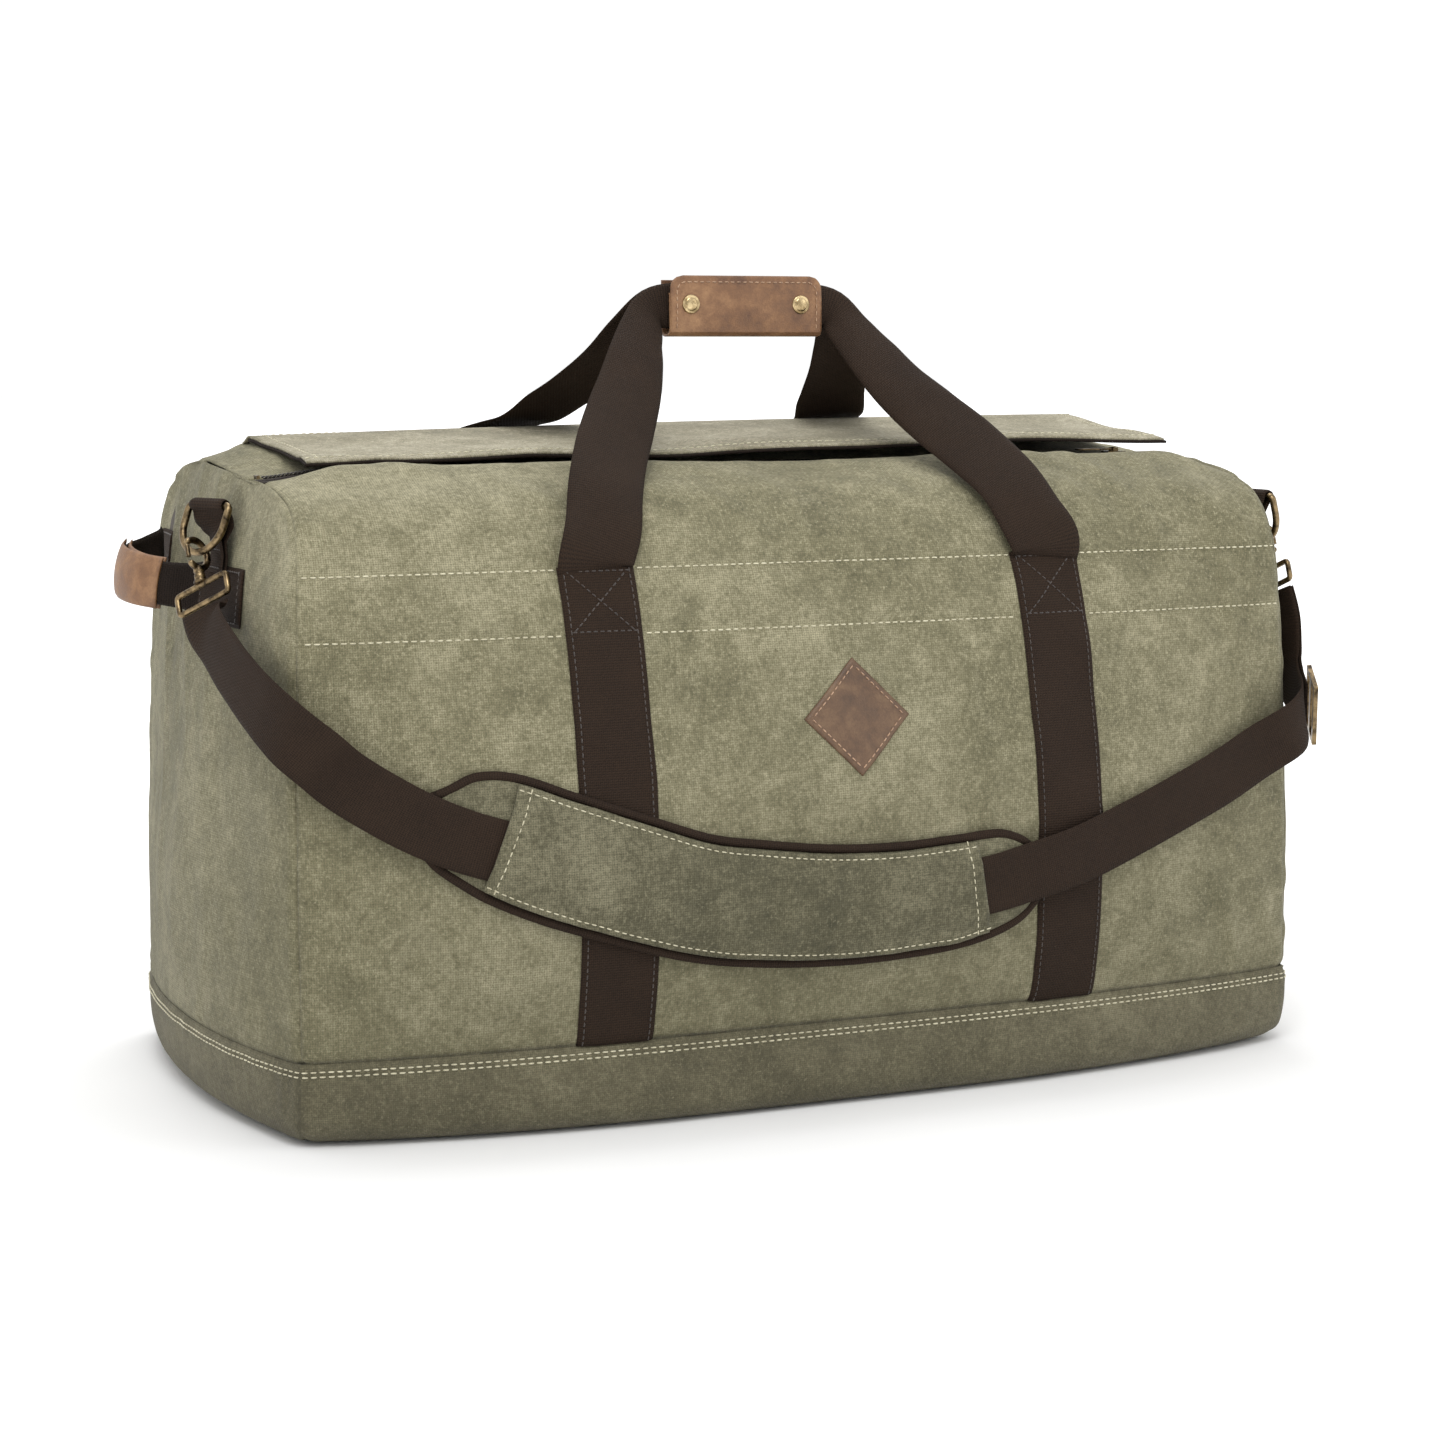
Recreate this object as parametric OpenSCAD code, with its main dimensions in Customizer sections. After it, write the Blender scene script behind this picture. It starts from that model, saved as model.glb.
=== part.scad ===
// Soft canvas travel duffel: zipped body with a weather flap, twin webbing
// handles joined by a snapped leather grip, end grab handles, and a padded
// shoulder strap hooked to two D-rings.
// Axes: X along the length, -Y is the front, +Z up. Origin: centre of the underside.

/* [Body] */
// Length between the corner seams at the base
body_l = 704; // [690:1:720]
// Depth between the corner seams at the base
body_d = 364; // [356:1:372]
// Thickness of the waxed canvas panels
panel_t = 2; // [1.6:0.1:2.4]
// Height of the seam between base and side panels
base_h = 53; // [53:1:53]
// How far the front and rear bow outward at mid length
bow_d = 1; // [0.9:0.05:1.1]

/* [Webbing] */
// Width of the carry handle webbing
web_w = 50; // [46:1:52]
// Distance of each handle run from the middle
web_x = 158; // [150:1:165]
// Thickness of the webbing
web_t = 1.8; // [1.4:0.1:2]
// Width of the shoulder strap webbing
strap_w = 38; // [34:1:40]

/* [Hardware] */
// Wire radius of the D-rings
ring_wire = 2.4; // [2:0.1:2.6]
// Half width of the D-rings, centre of wire
ring_r = 19; // [19:0.5:20]
// Outer radius of the snap caps
snap_r = 6; // [5:0.5:7]

/* [Grip] */
// Length of the leather grip
grip_l = 110; // [100:1:116]
// Height of the leather grip
grip_h = 37; // [34:1:38]

/* [Hidden] */
$fn = 32;
canvas = [0.52, 0.50, 0.38];
webc = [0.16, 0.12, 0.10];
leather = [0.60, 0.42, 0.30];
brass = [0.55, 0.45, 0.28];

// Section table of the body, from the base seam up and over the shoulder.
// [z at corner, z at middle, inset of the half length, half depth at corner, half depth at middle, end bulge]
ROWS = [[53, 53, 0, 182, 208, 28], [100, 100, 0, 182, 217, 27], [150, 150, 0, 181, 219, 25],
  [200, 200, 1, 180, 216, 22], [250, 250, 2, 178, 206, 19], [304, 304, 4, 175, 192, 15],
  [343, 343, 6, 171, 176, 11], [366, 368, 8, 163, 163, 9], [382, 387, 10, 147, 145, 7],
  [391, 399, 11, 122, 120, 5], [395, 405.5, 12, 98, 98, 3], [396, 401, 12, 76, 76, 1]];
// The rear runs on over the top to the rear tape of the zip; its crown is a little higher.
RROWS = [[53, 53, 0, 182, 208, 28], [100, 100, 0, 182, 217, 27], [150, 150, 0, 181, 219, 25],
  [200, 200, 1, 180, 216, 22], [250, 250, 2, 178, 206, 19], [304, 304, 4, 175, 192, 15],
  [343, 343, 6, 171, 176, 11], [366, 369, 8, 164, 164, 9], [384, 391, 10, 148, 147, 7],
  [396, 405, 11, 123, 122, 5], [403, 414, 12, 96, 96, 3], [406, 418, 12, 50, 50, 1],
  [402, 411, 12, 4, 4, 1], [397, 401, 12, -44, -44, 1]];
// Inset of the end panel's edge from the seam, so that its edge lies inside the side panels.
INS = [[3.2, 0], [3.2, 0], [3.2, 0], [3.2, 0], [3.2, 0], [3.2, 0], [3.2, 0.6], [3, 1.8], [2.6, 2.8], [1.6, 3.4], [0.6, 3.6], [0, 3.8]];
L = body_l / 2;
ky = body_d / 364;
NC = 16;
function mix(a, b, t) = a + (b - a) * t;
function unit(v) = v / max(1e-9, norm(v));
function bow(u) = 1 - pow(min(1, abs(u)), 3);
function flatu(u) = 1 - max(0, (abs(u) - 0.875) / 0.125);
function lift(u, k) = k < 9 ? bow(u) : k < 10 ? mix(bow(u), flatu(u), 0.5) : flatu(u);
function bulge(w) = 1 - pow(abs(2 * w - 1), 2.2);

// Point of the front (s = -1) or rear (s = 1) skin at station u of row k.
function side_pt(R, s, u, k) = [(L - R[k][2]) * u, s * ky * mix(R[k][3], mix(R[k][3], R[k][4], bow_d), bow(u)),
  mix(R[k][0], R[k][1], lift(u, k))];
// Half depth and half length at any height below the shoulder.
Yc = [for (r = ROWS) [r[0], r[3]]];
Ym = [for (r = ROWS) [r[0], r[4]]];
Hl = [for (r = ROWS) [r[0], L - r[2]]];
Bl = [for (r = ROWS) [r[0], r[5]]];
function fy(x, z) = ky * mix(lookup(z, Yc), lookup(z, Ym), bow_d * bow(x / lookup(z, Hl)));
function ex(y, z) = lookup(z, Hl) + lookup(z, Bl) * (1 - pow(min(1, abs(y) / lookup(z, Yc)), 2.2));
// Point of an end panel: e = -1 left, 1 right; w runs from front to rear.
function end_pt(e, w, k) = let (r = RROWS[k], f = ROWS[k])
  [e * (L - f[2] + f[5] * bulge(w)), mix(-(f[3] - INS[k][0]), r[3] - INS[k][0], w) * ky,
   mix(f[0] - INS[k][1], r[0] - INS[k][1], w)];

// A closed sheet laid along a grid of points, between offsets a and b along its normal.
function gn(P, i, j) = let (m = len(P) - 1, n = len(P[0]) - 1)
  unit(cross(P[i][min(n, j + 1)] - P[i][max(0, j - 1)], P[min(m, i + 1)][j] - P[max(0, i - 1)][j]));
module sheet(P, a, b) {
  m = len(P); n = len(P[0]);
  lo = [for (i = [0:m - 1], j = [0:n - 1]) P[i][j] + a * gn(P, i, j)];
  hi = [for (i = [0:m - 1], j = [0:n - 1]) P[i][j] + b * gn(P, i, j)];
  q = m * n;
  rim = concat([for (j = [0:n - 1]) j], [for (i = [1:m - 1]) i * n + n - 1],
    [for (j = [n - 2:-1:0]) (m - 1) * n + j], [for (i = [m - 2:-1:1]) i * n]);
  k = len(rim);
  polyhedron(concat(lo, hi), concat(
    [for (i = [0:m - 2], j = [0:n - 2]) each let (o = i * n + j) [[o, o + 1, o + n + 1], [o, o + n + 1, o + n]]],
    [for (i = [0:m - 2], j = [0:n - 2]) each let (o = q + i * n + j) [[o, o + n + 1, o + 1], [o, o + n, o + n + 1]]],
    [for (i = [0:k - 1]) each let (s = rim[i], t = rim[(i + 1) % k]) [[s, t + q, t], [s, s + q, t + q]]]));
}
// A flat strap swept along points, with the outward normal and the width given at each point.
module ribbon(P, N, W, t) {
  m = len(P);
  T = [for (i = [0:m - 1]) unit(P[min(m - 1, i + 1)] - P[max(0, i - 1)])];
  A = [for (i = [0:m - 1]) unit(cross(N[i], T[i]))];
  B = [for (i = [0:m - 1]) unit(cross(T[i], A[i]))];
  pts = [for (i = [0:m - 1]) each [P[i] + A[i] * W[i] / 2 + B[i] * t / 2, P[i] - A[i] * W[i] / 2 + B[i] * t / 2,
    P[i] - A[i] * W[i] / 2 - B[i] * t / 2, P[i] + A[i] * W[i] / 2 - B[i] * t / 2]];
  polyhedron(pts, concat([[0, 1, 2], [0, 2, 3]], [for (o = [4 * (m - 1)]) each [[o, o + 2, o + 1], [o, o + 3, o + 2]]],
    [for (i = [0:m - 2], j = [0:3]) each let (a = 4 * i + j, b = 4 * i + (j + 1) % 4) [[a, a + 4, b + 4], [a, b + 4, b]]]));
}
function fill(n, v) = [for (i = [1:n]) v];
function mirx(P) = [for (p = P) [-p[0], p[1], p[2]]];
function rev(P) = [for (i = [len(P) - 1:-1:0]) P[i]];

// ---- body shell
function side_grid(R, s) = [for (k = [0:len(R) - 1]) [for (j = [0:NC]) side_pt(R, s, 2 * j / NC - 1, k)]];
function end_grid(e) = [for (k = [0:11]) [for (j = [0:10]) end_pt(e, j / 10, k)]];
module front_panel() { color(canvas) sheet(side_grid(ROWS, -1), -panel_t, 0); }
module rear_panel() { color(canvas) sheet(side_grid(RROWS, 1), 0, panel_t); }
module left_end_panel() { color(canvas) sheet(end_grid(-1), 0, panel_t); }
module right_end_panel() { color(canvas) sheet(end_grid(1), -panel_t, 0); }
// Lining: thin loose cloth just inside each panel.
module lining() {
  color([0.3, 0.27, 0.22]) {
    sheet([for (r = side_grid(ROWS, -1)) [for (j = [1:NC - 1]) r[j]]], -4.2, -3.4);
    sheet([for (r = side_grid(RROWS, 1)) [for (j = [1:NC - 1]) r[j]]], 3.4, 4.2);
    sheet([for (k = [0:10]) [for (j = [1:9]) end_pt(-1, j / 10, k)]], 3.4, 4.2);
    sheet([for (k = [0:10]) [for (j = [1:9]) end_pt(1, j / 10, k)]], -4.2, -3.4);
  }
}
// Base band rings: [z, inset of half length, half depth at corner, at middle, end bulge]
BASE = [[52.4, 0, 182, 208, 28], [34, 0, 182, 213, 28], [14, 1, 178, 216, 26], [5, 4, 171, 211, 22], [0, 9, 160, 201, 15]];
function ring(k, t) = let (b = BASE[k], h = L - b[1] - t, c = (b[2] - t) * ky, m = (b[3] - t) * ky)
  concat([for (j = [0:13]) let (u = 2 * j / 14 - 1) [h * u, -mix(c, m, bow(u)), b[0]]],
    [for (j = [0:7]) let (w = j / 8) [h + b[4] * bulge(w), mix(-c, c, w), b[0]]],
    [for (j = [0:13]) let (u = 1 - 2 * j / 14) [h * u, mix(c, m, bow(u)), b[0]]],
    [for (j = [0:7]) let (w = 1 - j / 8) [-h - b[4] * bulge(w), mix(-c, c, w), b[0]]]);
module base_band() {
  nb = len(BASE); n = 44;
  pts = concat([for (k = [0:nb - 1]) each ring(k, 0)], [for (k = [nb - 1:-1:0]) each ring(k, 2.4)]);
  color([0.45, 0.43, 0.35]) polyhedron(pts, [for (k = [0:2 * nb - 1], j = [0:n - 1])
    each let (a = k * n + j, b = k * n + (j + 1) % n, c = ((k + 1) % (2 * nb)) * n) [[a, b, c + (j + 1) % n], [a, c + (j + 1) % n, c + j]]]);
}
module base_floor() { color([0.45, 0.43, 0.35]) linear_extrude(2.2) polygon([for (p = ring(4, 3)) [p[0], p[1]]]); }
module base_board() { color([0.2, 0.18, 0.16]) translate([0, 0, 2.6]) linear_extrude(3) polygon([for (i = [0:3], a = [0:6])
  let (sx = (i == 0 || i == 3) ? 1 : -1, sy = i < 2 ? 1 : -1, f = 90 * i + a * 15) [sx * 300 + 30 * cos(f), sy * 120 + 30 * sin(f)]]); }

// ---- zip
zy = -60;
zt = 401;
function zz(x) = zt - 4.5 * max(0, (abs(x) - 297.5) / 42.5);
module tape(y0, y1) { sheet([for (y = [y0, y1]) [for (x = [-338, -318, -297.5, -200, -100, 0, 100, 200, 297.5, 318, 338]) [x, y, zz(x)]]], -0.8, 0); }
module zip_tape_front() { color(webc) tape(-75.4, -61); }
module zip_tape_rear() { color(webc) tape(-59, -44.6); }
module coil(y0) {
  translate([-297.5, y0, zt + 0.1]) cube([595, 2.4, 2.2]);
  for (e = [-1, 1]) ribbon([[e * 298, y0 + 1.2, zt + 1.15], [e * 318, y0 + 1.2, zz(318) + 1.3], [e * 334, y0 + 1.2, zz(334) + 1.3]], fill(3, [0, 0, 1]), fill(3, 2.4), 2);
}
module zip_coil_front() { color([0.1, 0.09, 0.08]) coil(-63.4); }
module zip_coil_rear() { color([0.1, 0.09, 0.08]) coil(-59); }
module zip_end_stops() { color(brass) for (e = [-1, 1]) translate([e * 336.4, zy, zz(336.4) + 1.4]) rotate([0, e * 6, 0]) cube([2, 7, 2.2], center = true); }
sx = 282;
module zip_slider() {
  color(brass) {
    difference() {
      union() {
        translate([sx - 7, zy - 5, 403.8]) cube([14, 10, 1.2]);
        translate([sx - 1.2, zy - 0.5, 399.2]) cube([2.4, 1, 5]);
        translate([sx - 7, zy - 5, 398.6]) cube([14, 10, 1]);
        for (y = [-3.2, 2.2]) translate([sx - 2, zy + y, 404.9]) cube([4, 1, 2.6]);
      }
    }
    translate([sx, zy - 2.4, 406.5]) rotate([-90, 0, 0]) cylinder(r = 0.7, h = 4.8);
  }
}
module zip_pull() {
  color(brass) difference() {
    union() {
      translate([sx, zy - 1.9, 406.5]) rotate([-90, 0, 0]) cylinder(r = 1.35, h = 3.8);
      translate([sx - 9, zy - 1.9, 406]) cube([8.4, 3.8, 1]);
      translate([sx - 30, zy - 4, 406]) linear_extrude(1) polygon([[0, 1.5], [1.5, 0], [19, 0], [22, 2.2], [22, 5.8], [19, 8], [1.5, 8], [0, 6.5]]);
    }
    translate([sx, zy - 3, 406.5]) rotate([-90, 0, 0]) cylinder(r = 0.77, h = 6);
    translate([sx - 25.5, zy, 405]) cylinder(r = 1.6, h = 3);
  }
}

// ---- weather flap over the zip, hinged on its sewn rear edge
hy = 50;
function zr(x) = 426.5 + 4 * x / 310 - 2 * pow(x / 310, 2);
function zf(x) = 412 + 3 * x / 310;
function flap_z(x, y) = mix(zf(x), zr(x), pow((y + 80) / (hy + 80), 0.8));
module top_flap() { color([0.62, 0.60, 0.5]) sheet([for (y = [-80, -62, -40, -15, 10, 30, hy - 1]) [for (j = [0:12]) let (x = -310 + j * 620 / 12) [x, y, flap_z(x, y)]]], -2, 0); }
module flap_seam_strip() { color([0.62, 0.60, 0.5]) sheet([for (y = [hy, hy + 8, hy + 15]) [for (j = [0:12]) let (x = -310 + j * 620 / 12)
  [x, y, zr(x) - (y - hy) * 0.1]]], -2, 0); }

// ---- sewn handle webbing
RUNZ = [54, 100, 150, 200, 250, 304, 342];
module run(s, xc) { color(webc) sheet([for (z = RUNZ) [for (x = [-1, -0.5, 0, 0.5, 1]) [xc + x * web_w / 2, s * fy(xc + x * web_w / 2, z), z]]],
  s < 0 ? 0.5 : -0.5 - web_t, s < 0 ? 0.5 + web_t : -0.5); }
module front_run_left() { run(-1, -web_x); }
module front_run_right() { run(-1, web_x); }
module rear_run_left() { run(1, -web_x); }
module rear_run_right() { run(1, web_x); }
// The runs carry on under the base, between floor and board.
module base_straps() { color(webc) for (e = [-1, 1]) translate([e * 90 - 25, -140, 5.8]) cube([50, 280, 1.2]); }

// ---- carry handles: left half of each loop, mirrored; the grip sits 3 mm right of the middle
function other(P) = rev([for (p = P) [-p[0] + 6 * max(0, min(1, (p[0] + 97) / 34)), p[1], p[2]]]);
FL = [[-158, -179.6, 344], [-157.6, -181.4, 351], [-150, -174.5, 370], [-142, -160, 392], [-128, -136, 414], [-112, -113, 434], [-97, -93, 454], [-84, -74, 474], [-74, -58, 489.5], [-63, -45.2, 502.5], [-48, -44.2, 505], [-25, -44, 505]];
FN = [[0, -1, 0], [0, -1, 0], [0, -1, 0.3], [0, -1, 0.4], [0, -1, 0.4], [0, -1, 0.4], [0, -1, 0.4], [0, -1, 0.3], [0, -1, 0.2], [0, -1, 0], [0, -1, 0], [0, -1, 0]];
FW = [50, 50, 50, 50, 50, 49, 46, 41, 34, 28, 30, 30];
module front_handle_loop() { color(webc) ribbon(concat(FL, other(FL)), concat(FN, rev(FN)), concat(FW, rev(FW)), web_t); }
RL = [[-158, 179.6, 344], [-157.6, 181.4, 351], [-152, 174.5, 372], [-147, 158, 393], [-139, 132, 407.5], [-130, 102, 418.7], [-122, 76, 425.8], [-113, 50, 431.8], [-104, 30, 444], [-95, 8, 456], [-84, -14, 473], [-75, -28, 489], [-63, -39.9, 502.5], [-48, -40.8, 505], [-25, -41, 505]];
RN = [[0, 1, 0], [0, 1, 0], [0, 1, 0.3], [0, 1, 0.8], [0, 0.6, 1], [0, 0.35, 1], [0, 0.25, 1], [0, 0.3, 1], [0, 0.5, 1], [0, 0.7, 1], [0, 1, 0.9], [0, 1, 0.5], [0, 1, 0], [0, 1, 0], [0, 1, 0]];
RW = [50, 50, 50, 50, 50, 50, 50, 50, 49, 46, 40, 34, 28, 30, 30];
module rear_handle_loop() { color(webc) ribbon(concat(RL, other(RL)), concat(RN, rev(RN)), concat(RW, rev(RW)), web_t); }
gz = 486.5;
module grip_wrap() {
  color(leather) translate([-grip_l / 2 + 3, 0, 0]) {
    translate([0, -38.6, gz]) cube([grip_l, 1.8, 36]);
    translate([0, -48, gz]) cube([grip_l, 11.2, 1.8]);
    translate([0, -48, gz]) cube([grip_l, 1.6, 27]);
  }
}
module snap_studs() { color(brass) for (x = [-40, 40]) translate([x + 2, -48, 506]) rotate([90, 0, 0]) cylinder(r = 2.6, h = 0.7); }
module grip_flap() {
  color(leather) translate([3, -49, gz + 0.8]) rotate([90, 0, 0]) linear_extrude(1.8) polygon(concat([[grip_l / 2 - 1, 0]],
    [for (a = [0:15:90]) [grip_l / 2 - 9 + 8 * cos(a), grip_h - 8 + 8 * sin(a)]],
    [for (a = [90:15:180]) [-grip_l / 2 + 9 + 8 * cos(a), grip_h - 8 + 8 * sin(a)]], [[-grip_l / 2 + 1, 0]]));
}
module snap_caps() { color(brass) for (x = [-40, 40]) translate([x + 2, -50.8, 506]) rotate([90, 0, 0]) rotate_extrude() polygon([[0, 0], [snap_r, 0], [snap_r, 0.7], [snap_r - 0.8, 1.5], [0, 1.8]]); }

// ---- leather patch, a square turned on its corner, laid on the front
module leather_patch() { color([0.45, 0.35, 0.28]) sheet([for (b = [-26, -13, 0, 13, 26]) [for (a = [-26, -13, 0, 13, 26])
  let (x = (a - b) * 0.7071, z = 247 + (a + b) * 0.7071) [x, -fy(x, z), z]]], 0.5, 2.1); }

// ---- D-rings: bar through a webbing tab, loop hanging outward
// The left ring is turned towards the front by the strap's pull.
tilt_l = 22;
tilt_r = 14;
yaw_l = 25;
LR = [-363.5, -48, 381];
RR = [358.5, -125, 375];
module d_ring(C, yaw, tilt) {
  color(brass) translate(C) rotate([0, 0, yaw]) rotate([0, tilt, 0]) {
    rotate([90, 0, 0]) cylinder(r = ring_wire, h = 2 * ring_r, center = true);
    for (y = [-ring_r, ring_r]) translate([0, y, 0]) { sphere(r = ring_wire); translate([0, 0, -12]) cylinder(r = ring_wire, h = 12); }
    translate([0, 0, -12]) rotate([0, 90, 0]) rotate([0, 0, -90]) rotate_extrude(angle = 180, $fn = 48) translate([ring_r, 0]) circle(r = ring_wire);
  }
}
module left_d_ring() { d_ring(LR, yaw_l, tilt_l); }
module right_d_ring() { d_ring(RR, 0, -tilt_r); }
// Webbing tab: sewn to the end panel, looped over the ring's bar.
module ring_tab(C, yaw, P, N) {
  color(webc) difference() {
    union() {
      translate(C) rotate([0, 0, yaw]) rotate([90, 0, 0]) cylinder(r = ring_wire + 1.8, h = 31, center = true);
      ribbon(P, N, fill(len(P), 31), 2);
    }
    translate(C) rotate([0, 0, yaw]) rotate([90, 0, 0]) cylinder(r = ring_wire + 0.06, h = 60, center = true);
  }
}
module left_ring_tab() {
  ring_tab(LR, yaw_l, [[-359.4, -48, 337], [-357.6, -48, 348], [-357.9, -48, 358], [-358.6, -47.6, 368], [-360.3, -46.7, 379.5]],
    [[-1, 0, 0], [-1, 0, 0], [-0.98, -0.2, 0], [-0.94, -0.34, 0], [-0.906, -0.423, 0]]);
}
module right_ring_tab() {
  ring_tab(RR, 0, [[354.6, -125, 331], [352.9, -125, 343], [350.7, -125, 355], [350.4, -125, 365], [355.4, -125, 374.2]],
    [[1, -0.09, 0], [1, -0.09, 0], [1, -0.09, 0], [1, -0.09, 0], [0.9, 0, -0.4]]);
}

// ---- swivel snap hooks, closed by a sprung gate. P is the middle of the ring's wire.
LP = LR + 31 * [-sin(tilt_l) * cos(yaw_l), -sin(tilt_l) * sin(yaw_l), -cos(tilt_l)];
RP = [RR[0] + 31 * sin(tilt_r), RR[1], RR[2] - 31 * cos(tilt_r)];
// The left hook swivels so that the strap faces forward.
turn_l = 33;
hr = 9.5;
module hook_frame(P, lean, turn) { translate(P) rotate([-lean, 0, 0]) rotate([0, 0, turn]) translate([0, 0, -1.2]) children(); }
module hook(P, e, lean, turn) {
  color(brass) hook_frame(P, lean, turn) {
    // open ring: gap on the outer side closed by the gate
    rotate([90, 0, 0]) rotate([0, 0, e < 0 ? -140 : 40]) rotate_extrude(angle = 280, $fn = 48) translate([hr, 0]) circle(r = 2.2);
    translate([0, 0, -18]) cylinder(r = 3.2, h = 8);
    translate([0, 0, -20]) cylinder(r = 4.2, h = 2.4);
    // strap frame
    for (y = [-21, 21]) translate([-1.8, y - 1.8, -35]) cube([3.6, 3.6, 15]);
    translate([-1.8, -22.8, -23]) cube([3.6, 45.6, 3.4]);
    translate([0, 0, -34]) rotate([90, 0, 0]) cylinder(r = 1.8, h = 42, center = true);
  }
}
module hook_gate(P, e, lean, turn) {
  color(brass) hook_frame(P, lean, turn) translate([e * hr * cos(40), 0, -hr * sin(40) + 2.6]) {
    cylinder(r = 1.5, h = 2 * hr * sin(40) - 5);
  }
}
lean_l = 30;
lean_r = 20;
module left_hook() { hook(LP, -1, lean_l, turn_l); }
module right_hook() { hook(RP, 1, lean_r, 0); }
module left_hook_gate() { hook_gate(LP, -1, lean_l, turn_l); }
module right_hook_gate() { hook_gate(RP, 1, lean_r, 0); }

// ---- shoulder strap: from the left hook round the corner, through the pad, round to the right hook
function on_front(x, z, off) = [x, -fy(x, z) - off, z];
SL = [[-374, -72.3, 318.6], [-374.9, -79, 310], [-375.6, -97, 301.5], [-374, -122, 289.5], [-371, -150, 277], [-366, -178, 264.5], [-357, -198, 252], [-343, -203, 239.5],
  on_front(-322, 222.5, 10), on_front(-290, 202, 10.2), on_front(-262, 188.5, 10.4), on_front(-236, 179.5, 10.4), on_front(-200, 169, 10.4), on_front(-163, 158.5, 10.4), on_front(-111, 143, 10.4),
  on_front(-71, 136, 10.4), on_front(-23, 131, 10.4), on_front(26, 130, 10.4), on_front(87, 136, 10.4), on_front(124, 143, 10.4),
  on_front(160, 151, 9.6), on_front(200, 163, 7), on_front(240, 177, 7), on_front(280, 192, 8), on_front(312, 206, 10), [338, -201.5, 219], [352, -194.5, 226.5], [361, -181, 233.5], [365.5, -165, 241.5], [368, -151.5, 255], [369, -145, 273], [368.4, -143.5, 290], [366, -138.2, 308.4]];
SNv = [[-0.83, -0.5, 0.29], [-0.87, -0.47, 0.1], [-0.9, -0.42, 0], [-0.88, -0.47, 0], [-0.84, -0.53, 0], [-0.74, -0.67, 0], [-0.5, -0.87, 0], [-0.25, -0.97, 0], [-0.08, -1, 0]];
SNr = [[0.15, -1, 0], [0.5, -1, 0], [0.9, -0.6, 0], [1, -0.3, 0], [1, -0.1, 0], [1, 0, 0], [1, 0, 0], [1, 0, 0]];
SN = concat(SNv, fill(len(SL) - 17, [0, -1, 0]), SNr);
module strap_webbing() { color(webc) ribbon(SL, SN, fill(len(SL), strap_w), web_t); }
// The doubled end: back from the right hook to the slider.
function shift(P, N, d) = [for (i = [0:len(P) - 1]) P[i] + unit(N[i]) * d];
n0 = len(SL);
SNq = [for (i = [n0 - 6:n0 - 1]) SN[i]];
module strap_return() { color(webc) ribbon(shift([for (i = [n0 - 6:n0 - 1]) SL[i]], SNq, 2.6), SNq, fill(6, strap_w), web_t); }
module strap_slider() {
  T = unit(SL[n0 - 5] - SL[n0 - 7]); A = unit(cross(SN[n0 - 6], T)); B = cross(T, A); P = SL[n0 - 6] + B * 6.4;
  color(brass) multmatrix([[B[0], A[0], T[0], P[0]], [B[1], A[1], T[1], P[1]], [B[2], A[2], T[2], P[2]]]) {
    difference() { cube([3, 46, 30], center = true); for (z = [-7, 7]) translate([0, 0, z]) cube([5, 39, 9.5], center = true); }
  }
}

// ---- shoulder pad: a crescent that follows the belly of the bag
PC = [[-276, 203], [-262, 196], [-236, 188], [-200, 173], [-163, 160], [-111, 143], [-71, 136], [-23, 131], [26, 130], [72, 133], [106, 139], [124, 143], [131, 145]];
PH = [12, 27, 36, 38, 38, 37, 37, 36, 35, 34, 30, 20, 10];
function pad_grid(g, ws) = [for (w = ws) [for (i = [0:len(PC) - 1])
  let (a = PC[max(0, i - 1)], b = PC[min(len(PC) - 1, i + 1)], t = unit([b[0] - a[0], b[1] - a[1]]),
    x = PC[i][0] - t[1] * w * (PH[i] + g), z = PC[i][1] + t[0] * w * (PH[i] + g)) on_front(x + (i == 0 ? -g : i == len(PC) - 1 ? g : 0), z, 0)]];
module pad_base() { color(canvas) sheet(pad_grid(-3.5, [-1, -0.5, 0, 0.5, 1]), 3.2, 8.8); }
// Bound edge: a strip above and one below, meeting round the ends.
module pad_binding() { color(webc) { sheet(pad_grid(0, [0.93, 1]), 3.0, 9); sheet(pad_grid(0, [-1, -0.93]), 3.0, 9); } }
module pad_sleeve() {
  color(canvas) sheet([for (r = pad_grid(-5, [-1, -0.55, 0, 0.55, 1])) [for (i = [2:9]) r[i]]], 12.1, 13.3);
}

// ---- end grab handles
HL = [[-363.6, -12.5, 327], [-370, -9, 328], [-385, -1, 330], [-395, 13, 332], [-399, 33, 334], [-397, 55, 336], [-389, 73, 338], [-376, 86, 339.5], [-361.5, 92, 340.5]];
HN = [[-1, -0.6, 0], [-0.6, -1, 0.1], [-0.8, -1, 0.1], [-1, -0.6, 0.2], [-1, 0, 0.2], [-1, 0.5, 0.2], [-0.8, 1, 0.1], [-0.5, 1, 0.1], [-0.8, 1, 0]];
module handle_web(e) { color(webc) ribbon(e < 0 ? HL : rev(mirx(HL)), e < 0 ? HN : rev(mirx(HN)), fill(9, 28), 2.4); }
module handle_leather(e) {
  P = [for (i = [2:6]) HL[i]]; N = [for (i = [2:6]) HN[i]];
  Q = concat([P[0] + (P[0] - P[1]) * 0.4], [for (i = [1:3]) P[i]], [P[4] + (P[4] - P[3]) * 0.4]);
  color(leather) difference() {
    ribbon(e < 0 ? P : rev(mirx(P)), e < 0 ? N : rev(mirx(N)), fill(5, 34), 6.4);
    ribbon(e < 0 ? Q : rev(mirx(Q)), e < 0 ? N : rev(mirx(N)), fill(5, 29.4), 3.4);
  }
}
module left_handle_web() { handle_web(-1); }
module right_handle_web() { handle_web(1); }
module left_handle_leather() { handle_leather(-1); }
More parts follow.
